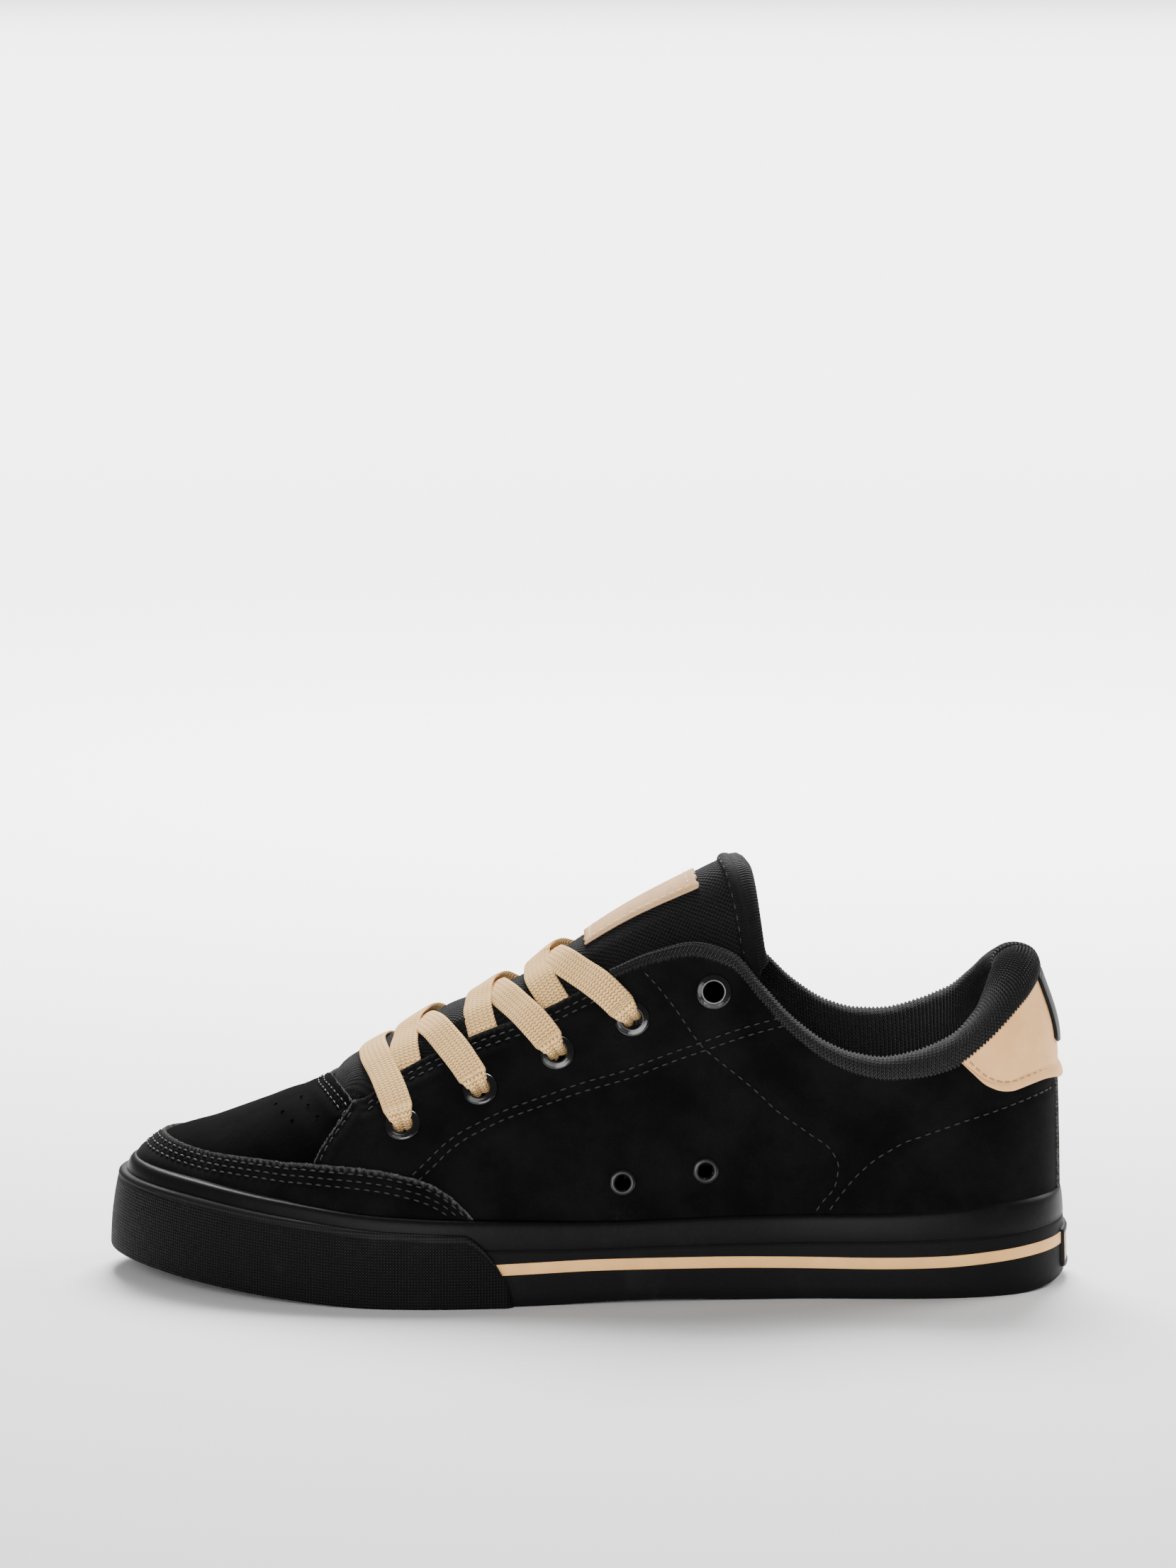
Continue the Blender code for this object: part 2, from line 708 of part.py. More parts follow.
def build_insole(look):
    plan = Last(inset(FEATHER, UPPER_WALL + INSOLE_GAP))
    heel = plan.outer[0, 0]
    toe = plan.outer[-1, 0]
    ends = np.array(INSOLE_ENDS)
    margin = 2 * ends[-1]
    lines = [*(heel + ends), *np.linspace(heel + margin, toe - margin, INSOLE_LINES), *(toe - ends)[::-1]]
    across = np.array(column(INSOLE_COLUMNS, 0))
    rim = np.array(column(INSOLE_COLUMNS, 1))
    sections = []
    for x in lines:
        outer = np.interp(x, plan.outer[:, 0], plan.outer[:, 1])
        inner = np.interp(x, plan.inner[:, 0], plan.inner[:, 1])
        y = (outer + inner) / 2 + (outer - inner) / 2 * across
        along = np.full(len(across), x)
        seat = np.full(len(across), sole_top(share(x)) + GAP)
        low = np.stack([along, y, seat], axis=1)
        high = np.stack([along, y, seat + INSOLE_THICK + INSOLE_RIM * rim], axis=1)
        sections.append(np.vstack([low, high[::-1]]))
    return tube("insole", sections, look)


# Stations of the upper's ribs from heel to toe, closer together at the throat's front edge
def rib_stations():
    start = LAST_SKIN.arc[0]
    throat = float(np.interp(place(THROAT_END), LAST_SKIN.spine(LAST_SKIN.arc), LAST_SKIN.arc))
    corner = float(np.interp(place(THROAT_CORNER), LAST_SKIN.spine(LAST_SKIN.arc), LAST_SKIN.arc))
    rear = np.linspace(start, corner, int(RIBS * REAR_RIBS), endpoint=False)
    edge = np.linspace(corner, throat, THROAT_RIBS, endpoint=False)
    front = np.linspace(throat + 1e-6, 1.0, RIBS - len(rear) - len(edge))
    return np.concatenate([rear, edge, front])


def all_stations():
    half = rib_stations()
    return np.concatenate([half, -half[-2:0:-1]])


def build_upper(look):
    stations = all_stations()
    cut = cut_angle(stations)
    parts = np.linspace(0, 1, RIB_STEPS) ** 1.1
    grid = LAST_SKIN.point(stations[:, None], cut[:, None] * parts[None, :])
    rows = len(stations)
    faces = []
    for row in range(rows):
        ahead = (row + 1) % rows
        for index in range(RIB_STEPS - 1):
            faces.append((row * RIB_STEPS + index, ahead * RIB_STEPS + index,
                          ahead * RIB_STEPS + index + 1, row * RIB_STEPS + index + 1))
    shell = add_object("upper", grid, faces, look)
    wall = shell.modifiers.new("wall", "SOLIDIFY")
    wall.thickness = UPPER_WALL
    wall.offset = -1.0
    wall.use_even_offset = True
    cutter = build_hole_cutter()
    holes = shell.modifiers.new("eyelet holes", "BOOLEAN")
    holes.operation = "DIFFERENCE"
    holes.solver = "EXACT"
    holes.object = cutter
    return shell


# Frame of a place on the skin, found by its side view: centre, outward, along and up
def skin_frame(along, height, outer_side):
    u = float(LAST_SKIN.station(place(along)))
    if not outer_side:
        u = -u
    angle = angle_at(u, height)
    centre = LAST_SKIN.point(np.array(u), np.array(angle))
    out = LAST_SKIN.normal(np.array(u), np.array(angle))
    ahead = np.cross(out, np.array([0.0, 0.0, 1.0]))
    ahead /= np.linalg.norm(ahead)
    return centre, out, ahead, np.cross(out, ahead)


def ring_places():
    places = []
    for outer_side in (True, False):
        side = "outer" if outer_side else "inner"
        for number, (along, height) in enumerate(EYELETS, 1):
            places.append((f"eyelet_{side}_{number}", skin_frame(along, height * INSTEP_HEIGHT, outer_side),
                           EYELET_BORE, EYELET_FLANGE))
        for number, (along, height) in enumerate(VENTS, 1):
            places.append((f"vent_{side}_{number}", skin_frame(along, height * INSTEP_HEIGHT, outer_side),
                           VENT_BORE, VENT_FLANGE))
    return places


def lathe(frame, profile, segments):
    centre, out, ahead, up = frame
    turn = np.linspace(0, 2 * math.pi, segments, endpoint=False)
    around = np.cos(turn)[:, None] * ahead + np.sin(turn)[:, None] * up
    rows = []
    for radius, height in profile:
        rows.append(centre + around * radius + out * height)
    return np.stack(rows, axis=1)


def build_hole_cutter():
    vertices = []
    faces = []
    reach = 3 * UPPER_WALL
    for name, frame, bore, flange in ring_places():
        radius = bore + RING_WALL + GAP
        rows = lathe(frame, ((radius, -reach), (radius, reach)), RING_SIDES)
        start = len(vertices)
        count = len(rows)
        vertices += list(rows.reshape(-1, 3))
        for index in range(count):
            ahead = (index + 1) % count
            faces.append((start + 2 * index, start + 2 * ahead, start + 2 * ahead + 1, start + 2 * index + 1))
        faces.append(tuple(start + 2 * index for index in reversed(range(count))))
        faces.append(tuple(start + 2 * index + 1 for index in range(count)))
    cutter = add_object("hole_cutter", vertices, faces, bpy.data.materials["nubuck_black"], flat=True)
    cutter.hide_render = True
    cutter.display_type = "WIRE"
    return cutter


def build_rings(look):
    for name, frame, bore, flange in ring_places():
        barrel = bore + RING_WALL
        profile = ((bore, -UPPER_WALL), (bore, GAP + RING_STAND), (flange, GAP),
                   (barrel, GAP), (barrel, -UPPER_WALL))
        tube(name, lathe(frame, profile, RING_SIDES), look, closed=True)


def collar_value(along, index, followed=None):
    return smooth(along, column(COLLAR, 0), column(COLLAR, index, followed))


# Padded collar: a knit roll on the leather's edge with its lining inside the wall
def build_collar(look):
    end = float(LAST_SKIN.station(place(COLLAR_END)))
    half = rib_stations()
    half = np.append(half[half < end - 0.004], end)
    stations = np.concatenate([-half[:0:-1], half])
    cut = cut_angle(stations)
    edge = LAST_SKIN.point(stations, cut)
    along = share(edge[:, 0])
    out = LAST_SKIN.normal(stations, cut)
    down = LAST_SKIN.point(stations, cut * 0.97)
    up = edge - down
    up /= np.linalg.norm(up, axis=1)[:, None]
    crest = collar_value(along, 1, 2)[:, None]
    roll = collar_value(along, 3)[:, None]
    rows = [edge + up * GAP]
    for across, rise in ROLL:
        rows.append(edge + out * roll * across + up * (crest * rise + GAP))
    depth = COLLAR_DEPTH / np.linalg.norm(edge - LAST_SKIN.point(stations, cut * 0.5), axis=1) / 2
    angle = cut * (1 - 0.5 * depth)
    rows.append(LAST_SKIN.point(stations, angle) - roll * LAST_SKIN.normal(stations, angle))
    face = UPPER_WALL + LINING_GAP
    for part, inwards in ((1.0, face + LINING_THICK), (1.0, face), (0.5, face)):
        angle = cut * (1 - part * depth)
        rows.append(LAST_SKIN.point(stations, angle) - inwards * LAST_SKIN.normal(stations, angle))
    rows.append(edge - out * face + up * GAP)
    return tube("collar", np.stack(rows, axis=1), look)


# Half width of the last's skin at a height, on the side of each place
def skin_half(x, height, outer_side):
    along = share(x)
    base_y = LAST_SKIN.base(LAST_SKIN.station(x) * np.where(outer_side, 1.0, -1.0))[1]
    low = sole_top(along) + GAP
    power = roundness(along)
    upwards = np.clip((height - low) / (ridge_height(along) - low), 0, 1)
    return np.abs(base_y - ridge_place(along)) * (1 - upwards ** power) ** (1 / power)


# Height of the last's skin over a place, from its distance to the ridge
def skin_height(x, across):
    along = share(x)
    base_y = LAST_SKIN.base(LAST_SKIN.station(x) * np.where(across >= 0, 1.0, -1.0))[1]
    low = sole_top(along) + GAP
    power = roundness(along)
    sideways = np.clip(np.abs(across / (base_y - ridge_place(along))), 0, 1)
    return low + (ridge_height(along) - low) * (1 - sideways ** power) ** (1 / power)


# Tongue: an arched pad from under the vamp to its free tip, thicker towards the tip
def build_tongue(look):
    first = TONGUE[0][0]
    last = TONGUE[-1][0]
    along = np.linspace(first, last, TONGUE_ROWS)[:, None]
    names = column(TONGUE, 0)
    half = BALL_WIDTH * smooth(along, names, column(TONGUE, 3))
    drop = INSTEP_HEIGHT * smooth(along, names, column(TONGUE, 4))
    reach = np.radians(smooth(along, names, column(TONGUE, 5)))
    part = np.linspace(-1, 1, TONGUE_COLUMNS)[None, :]
    turn = part * reach
    tip = np.clip((0.5 * (first + last) - along) / (0.5 * (last - first)), 0, 1)
    x = place(along) - TONGUE_DROOP * tip ** 2 * (1 - np.cos(turn))
    across = half * np.sin(turn)
    z = smooth(along, names, column(TONGUE, 1, 2)) - drop * (1 - np.cos(turn))
    z = np.minimum(z, skin_height(x, across))
    padded = along < COLLAR_END + 0.02
    cover = np.where(padded, collar_value(share(x), 3) + PADDING_GAP, UPPER_WALL + TONGUE_GAP)
    edge = top_line(share(x), across >= 0) + TONGUE_FREE + np.where(padded, collar_value(share(x), 1, 2), 0.0)
    covered = np.clip((edge + TONGUE_EASE - z) / TONGUE_EASE, 0, 1)
    room = skin_half(x, z, across >= 0) - cover * covered
    wide = np.abs(across)
    held = (wide + room - np.sqrt((wide - room) ** 2 + TONGUE_BLEND ** 2)) / 2
    across = np.where(np.abs(part) > TONGUE_FLAT, np.sign(across) * np.maximum(held, 0), across)
    top = np.stack([x, ridge_place(along) + across, z], axis=-1)
    thick = TONGUE_THIN + (TONGUE_THICK - TONGUE_THIN) * np.clip(tip * TONGUE_FILL, 0, 1)
    thick = thick * (1 - TONGUE_EDGE_THIN * np.abs(part) ** 3)
    out = np.cross(np.gradient(top, axis=0), np.gradient(top, axis=1))
    out /= np.linalg.norm(out, axis=-1)[..., None]
    low = top - out * thick[..., None]
    sections = np.concatenate([top, low[:, ::-1]], axis=1)
    return tube("tongue", sections, look)


# One flat lace band along a path of skin places, given by station and angle
def lace_band(start, end, lift):
    part = np.linspace(0, 1, LACE_ROWS)
    x = start[0] + (end[0] - start[0]) * part
    across = start[1] + (end[1] - start[1]) * part
    path = cover_point(x, across)
    ahead = np.gradient(path, axis=0)
    ahead /= np.linalg.norm(ahead, axis=1)[:, None]
    out = cover_normal(x, across)
    side = np.cross(out, ahead)
    side /= np.linalg.norm(side, axis=1)[:, None]
    out = np.cross(ahead, side)
    half = LACE_WIDTH / 2
    rows = []
    for over, height in ((-1.0, 0.0), (1.0, 0.0), (1.0, 1.0), (-1.0, 1.0)):
        rows.append(path + side * half * over + out * (lift + LACE_THICK * height))
    return np.stack(rows, axis=1)


# The skin over the throat: place along x, and across from -1 (inner feather) to 1 (outer feather)
def cover_point(x, across):
    u = LAST_SKIN.station(x) * np.where(across >= 0, 1.0, -1.0)
    power = roundness(share(x))
    angle = np.arccos(np.clip(np.abs(across), 0, 1) ** (power / 2))
    return LAST_SKIN.point(u, angle)


def cover_normal(x, across):
    step = 0.001
    turn = 0.02
    along = cover_point(x + step, across) - cover_point(x - step, across)
    side = cover_point(x, across + turn) - cover_point(x, across - turn)
    out = np.cross(along, side)
    return out / np.linalg.norm(out, axis=1)[:, None]


# Place of a skin point in the terms of the cover: x, and share across
def cover_place(along, height, outer_side):
    u = float(LAST_SKIN.station(place(along)))
    angle = angle_at(u if outer_side else -u, height)
    across = math.cos(angle) ** (2 / float(roundness(along)))
    return np.array([float(place(along)), across if outer_side else -across])


def throat_place(along, outer_side):
    return cover_place(along, float(top_line(along, outer_side)), outer_side)


def shorten(start, end, distance):
    middle = cover_point(np.array([start[0], end[0]]), np.array([start[1], end[1]]))
    length = np.linalg.norm(middle[1] - middle[0])
    return start + (end - start) * distance / (length * BAND_SLACK)


def build_laces(look):
    ends = []
    for outer_side in (True, False):
        ends.append([cover_place(along, height * INSTEP_HEIGHT, outer_side) for along, height in EYELETS])
    outer, inner = ends
    start = shorten(outer[0], inner[0], LACE_END)
    end = shorten(inner[0], outer[0], LACE_END)
    tube("lace_bar", lace_band(start, end, LACE_LIFT), look, flat=True)
    for row in range(LACED_ROWS - 1):
        tuck = EYELETS[row][0] + (EYELETS[row + 1][0] - EYELETS[row][0]) * LACE_TUCK
        bands = []
        for from_outer in (True, False):
            rise = outer[row + 1] if from_outer else inner[row + 1]
            dive = throat_place(tuck, not from_outer)
            lift = LACE_LIFT + (0.0 if from_outer else LACE_CROSS)
            bands.append(lace_band(shorten(rise, dive, LACE_END), dive, lift))
        name = f"lace_crossing_{row + 1}"
        under = tube(name, bands[0], look, flat=True)
        over = tube(name + "_second_band", bands[1], look, flat=True)
        over.hide_render = True
        over.display_type = "WIRE"
        join = under.modifiers.new("crossing", "BOOLEAN")
        join.operation = "UNION"
        join.solver = "EXACT"
        join.object = over


def main():
    for thing in list(bpy.data.objects):
        bpy.data.objects.remove(thing, do_unlink=True)
    rubber = material("rubber_black", (0.025, 0.025, 0.027), 0.55)
    nubuck = material("nubuck_black", (0.018, 0.018, 0.020), 0.85)
    knit = material("knit_black", (0.022, 0.022, 0.026), 0.95)
    canvas = material("canvas_black", (0.020, 0.020, 0.022), 0.90)
    lace = material("lace_beige", (0.62, 0.50, 0.36), 0.85)
    enamel = material("enamel_black", (0.015, 0.015, 0.016), 0.25, 0.3)
    badge = material("plate_beige", (0.55, 0.43, 0.30), 0.45)
    lining = material("insole_black", (0.030, 0.030, 0.032), 0.90)
    build_outsole(rubber)
    build_foxing(rubber)
    build_bumper(rubber)
    build_heel_plate(badge)
    build_insole(lining)
    build_upper(nubuck)
    build_collar(knit)
    build_tongue(canvas)
    build_laces(lace)
    build_rings(enamel)


main()
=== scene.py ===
import math

import bmesh
import bpy
import numpy as np
from mathutils import Matrix


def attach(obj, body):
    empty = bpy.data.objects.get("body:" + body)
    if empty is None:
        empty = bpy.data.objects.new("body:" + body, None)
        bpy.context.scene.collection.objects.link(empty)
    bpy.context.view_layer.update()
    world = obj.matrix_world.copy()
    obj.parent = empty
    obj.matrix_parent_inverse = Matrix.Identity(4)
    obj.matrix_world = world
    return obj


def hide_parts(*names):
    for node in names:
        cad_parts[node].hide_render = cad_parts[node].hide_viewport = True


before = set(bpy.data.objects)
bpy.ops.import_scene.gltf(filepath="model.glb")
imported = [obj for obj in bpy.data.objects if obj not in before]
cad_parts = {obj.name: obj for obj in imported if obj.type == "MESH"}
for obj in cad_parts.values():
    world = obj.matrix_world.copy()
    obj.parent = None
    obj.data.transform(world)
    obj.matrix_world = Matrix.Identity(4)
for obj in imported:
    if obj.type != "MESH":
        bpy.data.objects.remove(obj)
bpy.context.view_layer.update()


# Camera, floor and light.
# The photograph is a product view of the outer side from a little above, through a long lens.
# The floor is plain and pale, and large soft lamps light the shoe from above and in front.

IMAGE_WIDTH = 1659
IMAGE_HEIGHT = 2212
CAMERA_DISTANCE = 2.5
CAMERA_ELEVATION = math.radians(10.8)
CAMERA_YAW = math.radians(1.6)
CAMERA_TARGET = np.array([0.0, 0.0, 0.050])
TARGET_PIXEL = (829.0, 1575.0)
METRES_PER_PIXEL = 0.0002212
SENSOR = 36.0


def unit(vector):
    """Vectors over their lengths."""
    return vector / np.linalg.norm(vector, axis=-1)[..., None]


def set_up(name, data, place, forward, upward):
    """Puts a camera or lamp into the scene at a place, looking forward, with its top side upward."""
    made = bpy.data.objects.new(name, data)
    right = unit(np.cross(forward, upward))
    matrix = np.eye(4)
    matrix[:3] = np.stack([right, np.cross(right, forward), -forward, place], axis=1)
    made.matrix_world = Matrix(matrix.tolist())
    bpy.context.scene.collection.objects.link(made)
    return made


def place_camera():
    """The camera looks at the target from a distance, elevation and yaw, and its axis is turned so
    that the target falls on its own pixel of the frame."""
    focal = CAMERA_DISTANCE / METRES_PER_PIXEL
    back = np.array([-math.sin(CAMERA_YAW) * math.cos(CAMERA_ELEVATION),
                     math.cos(CAMERA_YAW) * math.cos(CAMERA_ELEVATION), math.sin(CAMERA_ELEVATION)])
    down = math.atan((TARGET_PIXEL[1] - IMAGE_HEIGHT / 2) / focal)
    across = math.atan((TARGET_PIXEL[0] - IMAGE_WIDTH / 2) / focal)
    right = unit(np.cross(-back, [0.0, 0.0, 1.0]))
    up = np.cross(right, -back)
    tilted = up * math.sin(down) - back * math.cos(down)
    above = up * math.cos(down) + back * math.sin(down)
    data = bpy.data.cameras.new("view")
    data.sensor_width = SENSOR
    data.lens = focal / IMAGE_HEIGHT * SENSOR
    data.clip_start = 0.05
    data.clip_end = 100
    bpy.context.scene.camera = set_up("view", data, CAMERA_TARGET + CAMERA_DISTANCE * back,
                                      tilted * math.cos(across) - right * math.sin(across), above)


def soft_lamp(name, place, aim, size, power, spread=180):
    """A square area lamp at a place, turned to its aim."""
    data = bpy.data.lights.new(name, "AREA")
    data.shape = "SQUARE"
    data.size = size
    data.energy = power
    data.spread = math.radians(spread)
    forward = unit(np.array(aim, float) - np.array(place, float))
    set_up(name, data, place, forward, [0.0, 0.0, 1.0] if abs(forward[2]) < 0.99 else [0.0, 1.0, 0.0])


place_camera()
soft_lamp("overhead", (0.00, -1.00, 1.08), (0.0, 0.0, 0.05), 0.8, 74)
soft_lamp("front_low", (0.30, 3.00, 0.62), (0.0, 0.0, 0.05), 1.8, 98)
soft_lamp("front_left", (0.95, 1.25, 0.75), (0.05, 0.0, 0.06), 0.7, 6)
soft_lamp("back_right", (-0.95, -0.60, 0.70), (-0.05, 0.0, 0.08), 0.6, 12)
soft_lamp("backdrop", (0.0, -4.6, 2.6), (0.0, -4.6, 0.0), 7.0, 1010, 70)

world = bpy.data.worlds.new("studio")
world.use_nodes = True
world.node_tree.nodes["Background"].inputs["Color"].default_value = (1.0, 1.0, 1.0, 1.0)
world.node_tree.nodes["Background"].inputs["Strength"].default_value = 0.20
bpy.context.scene.world = world


class Value:
    """A node's output socket; Python's operators on it add Math nodes to its material."""

    def __init__(self, look, socket):
        self.look = look
        self.socket = socket

    def math(self, operation, *inputs):
        return self.look.node("ShaderNodeMath", {"operation": operation}, dict(enumerate(inputs)))

    def __add__(self, other):
        return self.math("ADD", self, other)

    def __sub__(self, other):
        return self.math("SUBTRACT", self, other)

    def __rsub__(self, other):
        return self.math("SUBTRACT", other, self)

    def __mul__(self, other):
        return self.math("MULTIPLY", self, other)

    def __pow__(self, other):
        return self.math("POWER", self, other)

    __radd__ = __add__
    __rmul__ = __mul__

    def sine(self):
        return self.math("SINE", self)

    def size(self):
        return self.math("ABSOLUTE", self)

    def clamped(self):
        return self.math("MAXIMUM", self.math("MINIMUM", self, 1.0), 0.0)

    def ramp(self, low, high):
        """0 below low, 1 above high, smooth between."""
        return self.look.node("ShaderNodeMapRange", {"interpolation_type": "SMOOTHSTEP"},
                              {0: self, 1: low, 2: high, 3: 0.0, 4: 1.0})

    def part(self, name):
        """Another output of the same node, such as X of a split vector."""
        return Value(self.look, self.socket.node.outputs[name])


class Look:
    """A material with one Principled shader; node adds any other node to it."""

    def __init__(self, name, colour, roughness, **constants):
        self.material = bpy.data.materials.new(name)
        self.material.use_nodes = True
        self.tree = self.material.node_tree
        self.shader = self.tree.nodes["Principled BSDF"]
        self.shader.inputs["Base Color"].default_value = (*colour, 1.0)
        self.shader.inputs["Roughness"].default_value = roughness
        for socket, value in constants.items():
            self.shader.inputs[socket.replace("_", " ")].default_value = value

    def feed(self, socket, value):
        if isinstance(value, Value):
            self.tree.links.new(value.socket, socket)
        elif hasattr(value, "__len__") and len(value) == 3 and socket.type == "RGBA":
            socket.default_value = (*value, 1.0)
        else:
            socket.default_value = value

    def node(self, kind, settings=None, inputs=None, output=0):
        made = self.tree.nodes.new(kind)
        for name, value in (settings or {}).items():
            setattr(made, name, value)
        for name, value in (inputs or {}).items():
            self.feed(made.inputs[name], value)
        return Value(self, made.outputs[output])

    def coordinates(self, kind="Object"):
        return self.node("ShaderNodeTexCoord", output=kind)

    def split(self, kind="Object"):
        """The coordinates as X, Y and Z."""
        return self.node("ShaderNodeSeparateXYZ", inputs={0: self.coordinates(kind)})

    def noise(self, scale, detail=3.0, rough=0.5):
        return self.node("ShaderNodeTexNoise", inputs={"Vector": self.coordinates(), "Scale": scale,
                                                       "Detail": detail, "Roughness": rough})

    def cells(self, scale):
        return self.node("ShaderNodeTexVoronoi", inputs={"Vector": self.coordinates(), "Scale": scale})

    def mark(self, name):
        return self.node("ShaderNodeAttribute", {"attribute_name": name}, output="Fac")

    def mix(self, factor, first, second):
        """Colour between two, by a factor."""
        return self.node("ShaderNodeMix", {"data_type": "RGBA"}, {0: factor, 6: first, 7: second}, output=2)

    def colour(self, value):
        self.feed(self.shader.inputs["Base Color"], value)

    def rough(self, value):
        self.feed(self.shader.inputs["Roughness"], value)

    def bump(self, *layers):
        """Bumps one over another, each a height value, its strength and its depth in metres."""
        normal = None
        for height, strength, depth in layers:
            inputs = {"Height": height, "Strength": strength, "Distance": depth}
            if normal:
                inputs["Normal"] = normal
            normal = self.node("ShaderNodeBump", inputs=inputs)
        self.feed(self.shader.inputs["Normal"], normal)


def make_mesh(name, points, faces, look, uv=None, marks=None):
    """A mesh object from an array of points and an array of four-cornered faces. uv is one pair per
    point, and marks are named values per point that the materials read."""
    points = np.asarray(points, np.float32).reshape(-1, 3)
    faces = np.asarray(faces, np.int32)
    mesh = bpy.data.meshes.new(name)
    mesh.vertices.add(len(points))
    mesh.vertices.foreach_set("co", points.ravel())
    mesh.loops.add(faces.size)
    mesh.loops.foreach_set("vertex_index", faces.ravel())
    mesh.polygons.add(len(faces))
    mesh.polygons.foreach_set("loop_start", np.arange(0, faces.size, 4, dtype=np.int32))
    mesh.polygons.foreach_set("use_smooth", np.ones(len(faces), bool))
    mesh.update(calc_edges=True)
    if uv is not None:
        layer = mesh.uv_layers.new(name="surface")
        layer.data.foreach_set("uv", np.asarray(uv, np.float32).reshape(-1, 2)[faces.ravel()].ravel())
    for mark, values in (marks or {}).items():
        layer = mesh.attributes.new(mark, "FLOAT", "POINT")
        layer.data.foreach_set("value", np.asarray(values, np.float32).ravel())
    mesh.validate()
    mesh.materials.append(look.material)
    made = bpy.data.objects.new(name, mesh)
    bpy.context.scene.collection.objects.link(made)
    return made


def grid_faces(rows, columns, close_rows=False, close_columns=False):
    """Corner numbers of a grid's faces; a closed direction runs on from its last line to its first."""
    row = np.arange(rows if close_rows else rows - 1)[:, None]
    column = np.arange(columns if close_columns else columns - 1)[None, :]
    ahead = (row + 1) % rows
    beside = (column + 1) % columns
    faces = np.stack([row * columns + column, ahead * columns + column, ahead * columns + beside,
                      row * columns + beside], axis=-1)
    return faces.reshape(-1, 4)


def make_grid(name, grid, look, close_rows=False, close_columns=False, flip=False, **given):
    """A surface from a grid of points, rows by columns."""
    rows, columns = grid.shape[:2]
    faces = grid_faces(rows, columns, close_rows, close_columns)
    return make_mesh(name, grid, faces[:, ::-1] if flip else faces, look, **given)


floor_look = Look("floor", (0.82, 0.82, 0.82), 0.65, Specular_IOR_Level=0.1)
floor_grid = np.array([[[-40.0, -40.0, 0.0], [-40.0, 40.0, 0.0]], [[40.0, -40.0, 0.0], [40.0, 40.0, 0.0]]])
floor = make_grid("floor", floor_grid, floor_look)


# Form of the shoe.
# The last gives every curved piece its place: an outline of the sole, ribs from the feather line
# to a ridge, and a top line in the side view. These are the sizes and tables of the construction.

LENGTH = 0.300
BALL_WIDTH = 0.108
HEEL_WIDTH = 0.077
TOE_HEIGHT = 0.046
INSTEP_HEIGHT = 0.132
HEEL_HEIGHT = 0.098
TOE_SPRING = 0.0075
ARCH_RISE = 0.0010
HEEL_ROUND = 0.0025
SOLE_HEEL = 0.014
SOLE_FORE = 0.011
FOXING_HEIGHT = 0.0255
FOXING_WALL = 0.0024
FOXING_LEAN = 0.004
BUMPER_WALL = 0.002
BUMPER_DROP = 0.004
PLATE_WALL = 0.001
GAP = 0.0003
SEAT_GAP = 0.0006
FOXING_LENGTH = LENGTH - BUMPER_WALL - PLATE_WALL - 2 * GAP
FOXING_HEEL = -LENGTH / 2 + PLATE_WALL + GAP

OUTLINE = (
    # along, outer side, inner side, width followed
    (0.018, 0.265, 0.265, HEEL_WIDTH),
    (0.055, 0.400, 0.400, HEEL_WIDTH),
    (0.110, 0.476, 0.474, HEEL_WIDTH),
    (0.180, 0.502, 0.498, HEEL_WIDTH),
    (0.280, 0.507, 0.490, HEEL_WIDTH),
    (0.380, 0.400, 0.340, BALL_WIDTH),
    (0.480, 0.448, 0.354, BALL_WIDTH),
    (0.570, 0.494, 0.398, BALL_WIDTH),
    (0.645, 0.524, 0.441, BALL_WIDTH),
    (0.720, 0.520, 0.467, BALL_WIDTH),
    (0.800, 0.470, 0.461, BALL_WIDTH),
    (0.870, 0.388, 0.424, BALL_WIDTH),
    (0.930, 0.276, 0.356, BALL_WIDTH),
    (0.970, 0.160, 0.275, BALL_WIDTH),
    (0.992, 0.052, 0.184, BALL_WIDTH),
)
TOE_SIDEWAYS = -0.069
SHOE_SIDEWAYS = (0.524 - 0.467) / 2
HEEL_FLAT = 0.056
ARCH_START = 0.300
ARCH_END = 0.576
TOE_BREAK = 0.711
FOXING = (
    # along, height, lean
    (0.00, 1.157, 0.30),
    (0.06, 1.130, 0.30),
    (0.13, 1.070, 0.30),
    (0.22, 1.030, 0.25),
    (0.35, 1.020, 0.22),
    (0.47, 0.995, 0.22),
    (0.58, 1.030, 0.25),
    (0.66, 1.065, 0.30),
    (0.74, 1.110, 0.38),
    (0.82, 1.150, 0.50),
    (0.90, 1.160, 0.72),
    (1.00, 1.105, 1.00),
)
LAST = (
    # along, height, height followed, roundness, sideways share of the ball width
    (0.000, 1.890, INSTEP_HEIGHT, 1.90, 0.000),
    (0.100, 1.500, INSTEP_HEIGHT, 1.90, 0.000),
    (0.200, 1.180, INSTEP_HEIGHT, 2.00, -0.004),
    (0.310, 1.130, INSTEP_HEIGHT, 1.92, -0.008),
    (0.390, 1.045, INSTEP_HEIGHT, 1.80, -0.012),
    (0.475, 0.900, INSTEP_HEIGHT, 1.68, -0.015),
    (0.540, 0.790, INSTEP_HEIGHT, 1.62, -0.018),
    (0.610, 0.685, INSTEP_HEIGHT, 1.60, -0.022),
    (0.680, 0.595, INSTEP_HEIGHT, 1.68, -0.026),
    (0.735, 0.520, INSTEP_HEIGHT, 1.90, -0.031),
    (0.775, 0.468, INSTEP_HEIGHT, 2.00, -0.035),
    (0.830, 1.198, TOE_HEIGHT, 2.15, -0.045),
    (0.870, 1.095, TOE_HEIGHT, 2.30, -0.052),
    (0.905, 1.020, TOE_HEIGHT, 2.55, -0.060),
    (0.945, 0.980, TOE_HEIGHT, 2.85, -0.066),
    (1.000, 0.960, TOE_HEIGHT, 3.00, -0.069),
)
TOE_KNEE = 0.800
